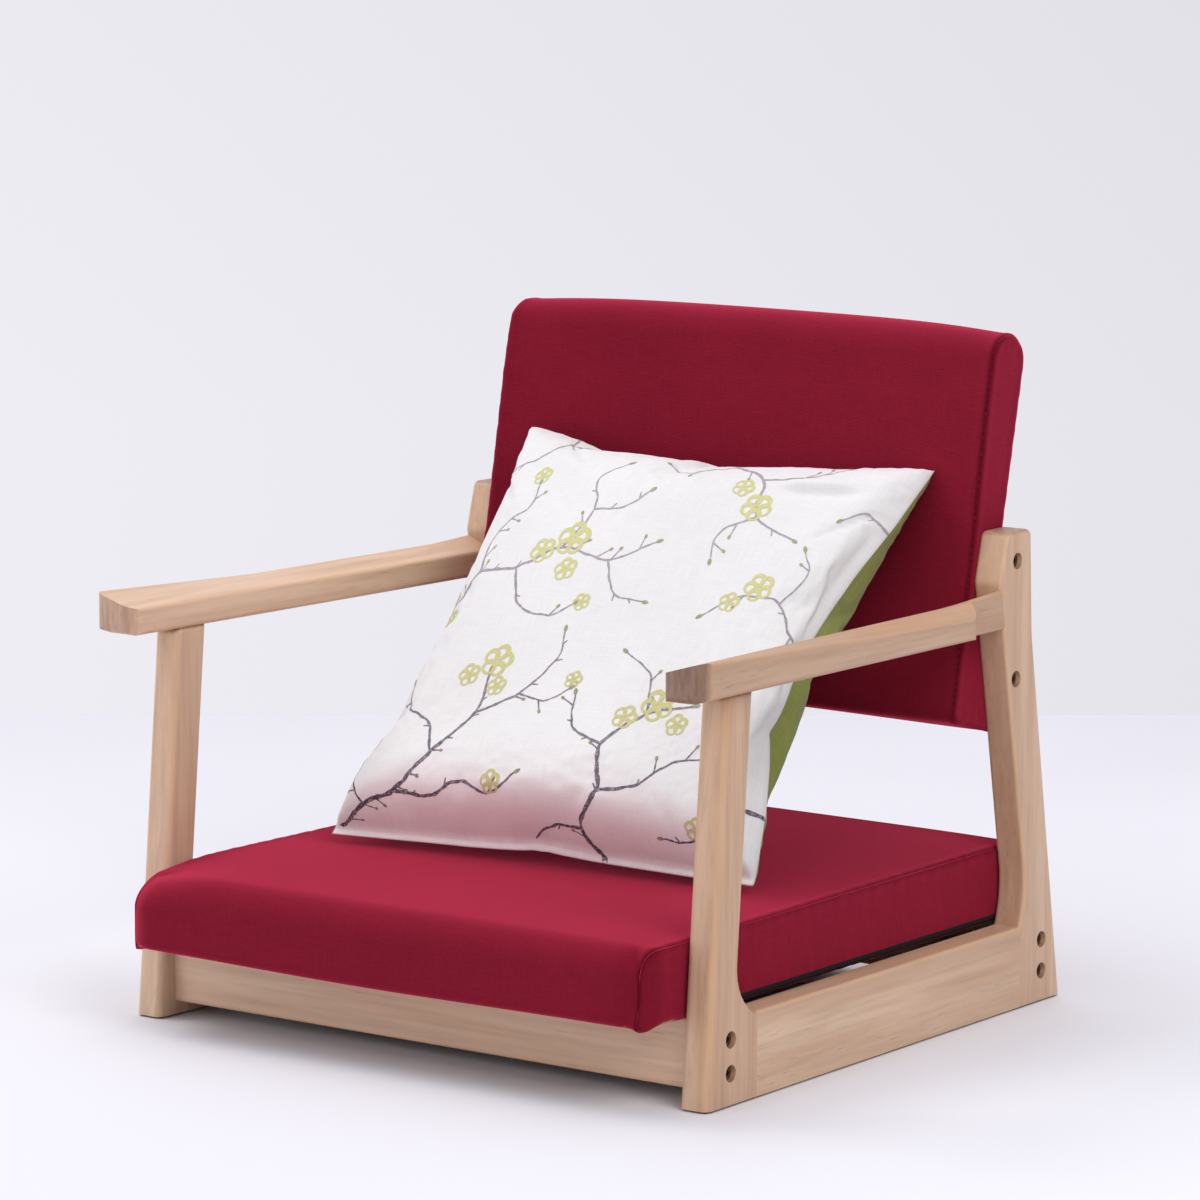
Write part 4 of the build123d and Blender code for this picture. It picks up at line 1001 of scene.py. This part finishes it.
def stroke(path, widths, lift, slot, closed=False):
    """A thin closed band of ink along a path in metres on the cloth."""
    tangent = np.roll(path, -1, axis=0) - np.roll(path, 1, axis=0) if closed else np.gradient(path, axis=0)
    side = quarter_turn(unit(tangent)) * (widths / 2)[:, None]
    left, right = (path + side) / CUSHION_SIDE, (path - side) / CUSHION_SIDE
    edges = (left, lift), (right, lift), (right, -INK_DEPTH), (left, -INK_DEPTH)
    corners = [on_cloth(*edge) for edge in edges]
    first = sum(len(block) for block in ink_points)
    count = len(path)
    ink_points.append(np.stack(corners, axis=1).reshape(-1, 3))
    for step in range(count if closed else count - 1):
        here, after = first + 4 * step, first + 4 * ((step + 1) % count)
        for corner in range(4):
            other = (corner + 1) % 4
            ink_faces.append((here + corner, after + corner, after + other, here + other))
    if not closed:
        last = first + 4 * (count - 1)
        ink_faces.extend([tuple(range(first, first + 4)), tuple(range(last + 3, last - 1, -1))])
    ink_slots.extend([slot] * (len(ink_faces) - len(ink_slots)))


def bud(place, heading, length, width, slot=BUD_INK):
    """A small filled oval, from its foot."""
    share = np.linspace(0.0, 1.0, 7)
    path = place + np.outer(share * length, heading)
    stroke(path, 0.0003 + width * np.sin(math.pi * share) ** 0.7, BLOSSOM_LIFT, slot)


for number, (first_width, last_width, controls) in enumerate(TWIGS):
    path, lengths = smooth_path(controls)
    share = lengths / lengths[-1]
    knots = 1.0 + 0.30 * ripple(lengths + 0.013 * number, 0.011)
    widths = TWIG_SPREAD * (first_width + (last_width - first_width) * share) * knots
    across_path = unit(quarter_turn(np.gradient(path, axis=0)))
    wander = 0.0009 * ripple(lengths + 0.017 * number, 0.023) * np.sin(math.pi * share)
    path = path + across_path * wander[:, None]
    stroke(path, widths, INK_LIFT, TWIG_INK)
    heading = unit(path[-1] - path[-3])
    if 0.03 < path[-1][1] / CUSHION_SIDE < 0.97:
        bud(path[-1] - 0.0008 * heading, heading, 0.0065, 0.0030)
    spot = 9 + 4 * (number % 4)
    while spot < len(path) - 6:
        way = 1.0 if (spot * 7 + number) % 3 else -1.0
        aim = unit(0.8 * unit(path[spot + 1] - path[spot - 1]) + way * across_path[spot])
        length = 0.0045 + 0.0018 * ((spot + 2 * number) % 5)
        spur = path[spot] + np.outer(np.linspace(0.0, length, 6), aim)
        stroke(spur, np.linspace(0.0015, 0.0009, 6), INK_LIFT, TWIG_INK)
        if length > 0.007:
            bud(spur[-1] - 0.0005 * aim, aim, 0.0042, 0.0023)
        spot += 9 + 6 * ((spot + number) % 4)


def heading_at(degrees):
    return np.array([math.cos(math.radians(degrees)), math.sin(math.radians(degrees))])


round_angle = np.linspace(0.0, 2 * math.pi, 18, endpoint=False)
for s, t, radius, turn in BLOSSOMS:
    centre = np.array([s, t]) / 1000 * CUSHION_SIDE
    radius *= 0.001
    for petal in range(5):
        out, aside = heading_at(turn + 72 * petal), heading_at(turn + 72 * petal + 90)
        ring = np.outer(1.05 * np.cos(round_angle), out) + np.outer(1.12 * np.sin(round_angle), aside)
        widths = 0.25 * radius * (1.0 + 0.35 * np.cos(round_angle + petal))
        stroke(centre + radius * (0.60 * out + 0.37 * ring), widths, BLOSSOM_LIFT, BLOSSOM_INK, closed=True)
    for stamen in range(3):
        aim = heading_at(turn + 30 + 120 * stamen)
        bud(centre + 0.04 * radius * aim, aim, 0.17 * radius, 0.10 * radius, BLOSSOM_INK)

print_inks = [
    ink("twig_ink", (0.335, 0.29, 0.335), (0.070, 0.044, 0.078)),
    ink("blossom_ink", (0.56, 0.54, 0.215), (0.47, 0.43, 0.17)),
    ink("bud_ink", (0.30, 0.31, 0.15), (0.20, 0.17, 0.09)),
]
cushion_print = mesh_piece(
    "cushion_print", np.vstack(ink_points), ink_faces, print_inks, face_slots=ink_slots, smooth=False
)
turn_outwards(cushion_print)
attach(cushion_print, CUSHION)

# ---- floor, light and camera
CAMERA_PLACE = Vector((2.7727, -3.6630, 1.0227))
CAMERA_YAW = math.radians(37.039)
CAMERA_PITCH = math.radians(8.566)
CAMERA_LENS = 177.21
FLOOR_TONE = (0.78, 0.78, 0.82)
FLOOR_REACH, FLOOR_BEHIND = 9.0, 1.40
WORLD_TINT = (0.985, 0.975, 1.045, 1.0)
WORLD_RIGHT_TO_LEFT, WORLD_AHEAD, WORLD_LOW_TO_HIGH = (0.35, 1.05), 0.12, (1.02, 0.955)


def floor():
    """A pale floor that ends a little behind the chair, square to the camera, with painted light: brighter
    further back and to the right.
    """
    paint = Paint("pale_floor")
    place = paint.place()
    apart = paint.node("SeparateXYZ", {"Vector": place})
    # Painted light: the floor is made brighter further back, and brighter still to the right where the
    # chair's shadow falls.
    behind = paint.span(apart.outputs["Y"], -0.6, 1.4)
    aside = paint.span(apart.outputs["X"], 0.1, 0.8)
    far_painted_light = paint.mix(behind, FLOOR_TONE, times(FLOOR_TONE, 1.09))
    tone = paint.mix(aside, far_painted_light, times(FLOOR_TONE, 1.14))
    paint.set(Base_Color=paint.mix(paint.noise(place, 2.0, 2.0), tone, FLOOR_TONE), Roughness=0.75)
    corners = [(x, y, 0.0) for x in (-FLOOR_REACH, FLOOR_REACH) for y in (-FLOOR_REACH, FLOOR_BEHIND)]
    piece = mesh_piece("floor", corners, [(0, 2, 3, 1)], [paint.material], smooth=False)
    piece.rotation_euler.z = CAMERA_YAW


def camera():
    data = bpy.data.cameras.new("camera")
    data.lens = CAMERA_LENS
    data.sensor_width = 36.0
    made = bpy.data.objects.new("camera", data)
    made.location = CAMERA_PLACE
    made.rotation_euler = (math.pi / 2 - CAMERA_PITCH, 0.0, CAMERA_YAW)
    scene.collection.objects.link(made)
    scene.camera = made


def area_light(name, place, target, size, power, tint):
    data = bpy.data.lights.new(name, "AREA")
    data.shape = "RECTANGLE"
    data.size, data.size_y = size
    data.energy = power
    data.color = tint
    lamp = bpy.data.objects.new(name, data)
    lamp.location = place
    lamp.rotation_euler = (Vector(target) - Vector(place)).to_track_quat("-Z", "Y").to_euler()
    scene.collection.objects.link(lamp)
    return lamp


def studio_world():
    """Pale walls all round, brighter to the left, darker behind the camera and a little so higher up."""
    world = bpy.data.worlds.new("studio")
    world.use_nodes = True
    background = world.node_tree.nodes["Background"]
    background.inputs["Color"].default_value = WORLD_TINT
    nodes = Nodes(world.node_tree)
    way = nodes.node("TexCoord").outputs["Generated"]

    def towards(x, y):
        inputs = {0: way, 1: (x, y, 0.0)}
        return nodes.node("VectorMath", inputs, operation="DOT_PRODUCT").outputs["Value"]

    leftwards = towards(-math.cos(CAMERA_YAW), -math.sin(CAMERA_YAW))
    onwards = towards(-math.sin(CAMERA_YAW), math.cos(CAMERA_YAW))
    upwards = nodes.node("SeparateXYZ", {"Vector": way}).outputs["Z"]
    wide = nodes.span(leftwards, -1.0, 1.0, *WORLD_RIGHT_TO_LEFT)
    deep = nodes.node("Math", {0: onwards, 1: WORLD_AHEAD, 2: wide}, operation="MULTIPLY_ADD").outputs[0]
    high = nodes.span(upwards, -0.12, 0.02, *WORLD_LOW_TO_HIGH)
    nodes.feed(background.inputs["Strength"], nodes.math("MULTIPLY", deep, high))
    scene.world = world


floor()
camera()
area_light("key_light", (-1.6, -0.4, 2.2), (0.0, 0.0, 0.2), (1.2, 1.2), 17.0, (1.0, 0.985, 0.97))
area_light("top_light", (0.1, 0.4, 3.2), (0.0, 0.0, 0.2), (2.4, 2.4), 18.0, (0.97, 0.98, 1.0))
area_light("fill_light", (2.4, -0.9, 2.3), (0.0, 0.0, 0.2), (1.8, 1.8), 44.0, (0.99, 0.98, 0.98))
area_light("low_light", (-1.7, -2.6, 0.45), (0.0, 0.0, 0.1), (1.4, 0.7), 5.0, (1.0, 0.98, 0.97))
# The light that the red seat throws back at the cushion, which the plain bounce gives too weakly.
RED_LIGHT = (1.0, 0.10, 0.16)
bounce = area_light("seat_bounce", (0.0, -0.19, 0.140), (0.0, -0.06, 0.165), (0.36, 0.06), 0.060, RED_LIGHT)
bounce.visible_camera = False
lit_by_bounce = bpy.data.collections.new("lit_by_seat_bounce")
for cloth in (pillow, cushion_print):
    lit_by_bounce.objects.link(cloth)
bounce.light_linking.receiver_collection = lit_by_bounce
studio_world()
scene.view_settings.view_transform = "Standard"
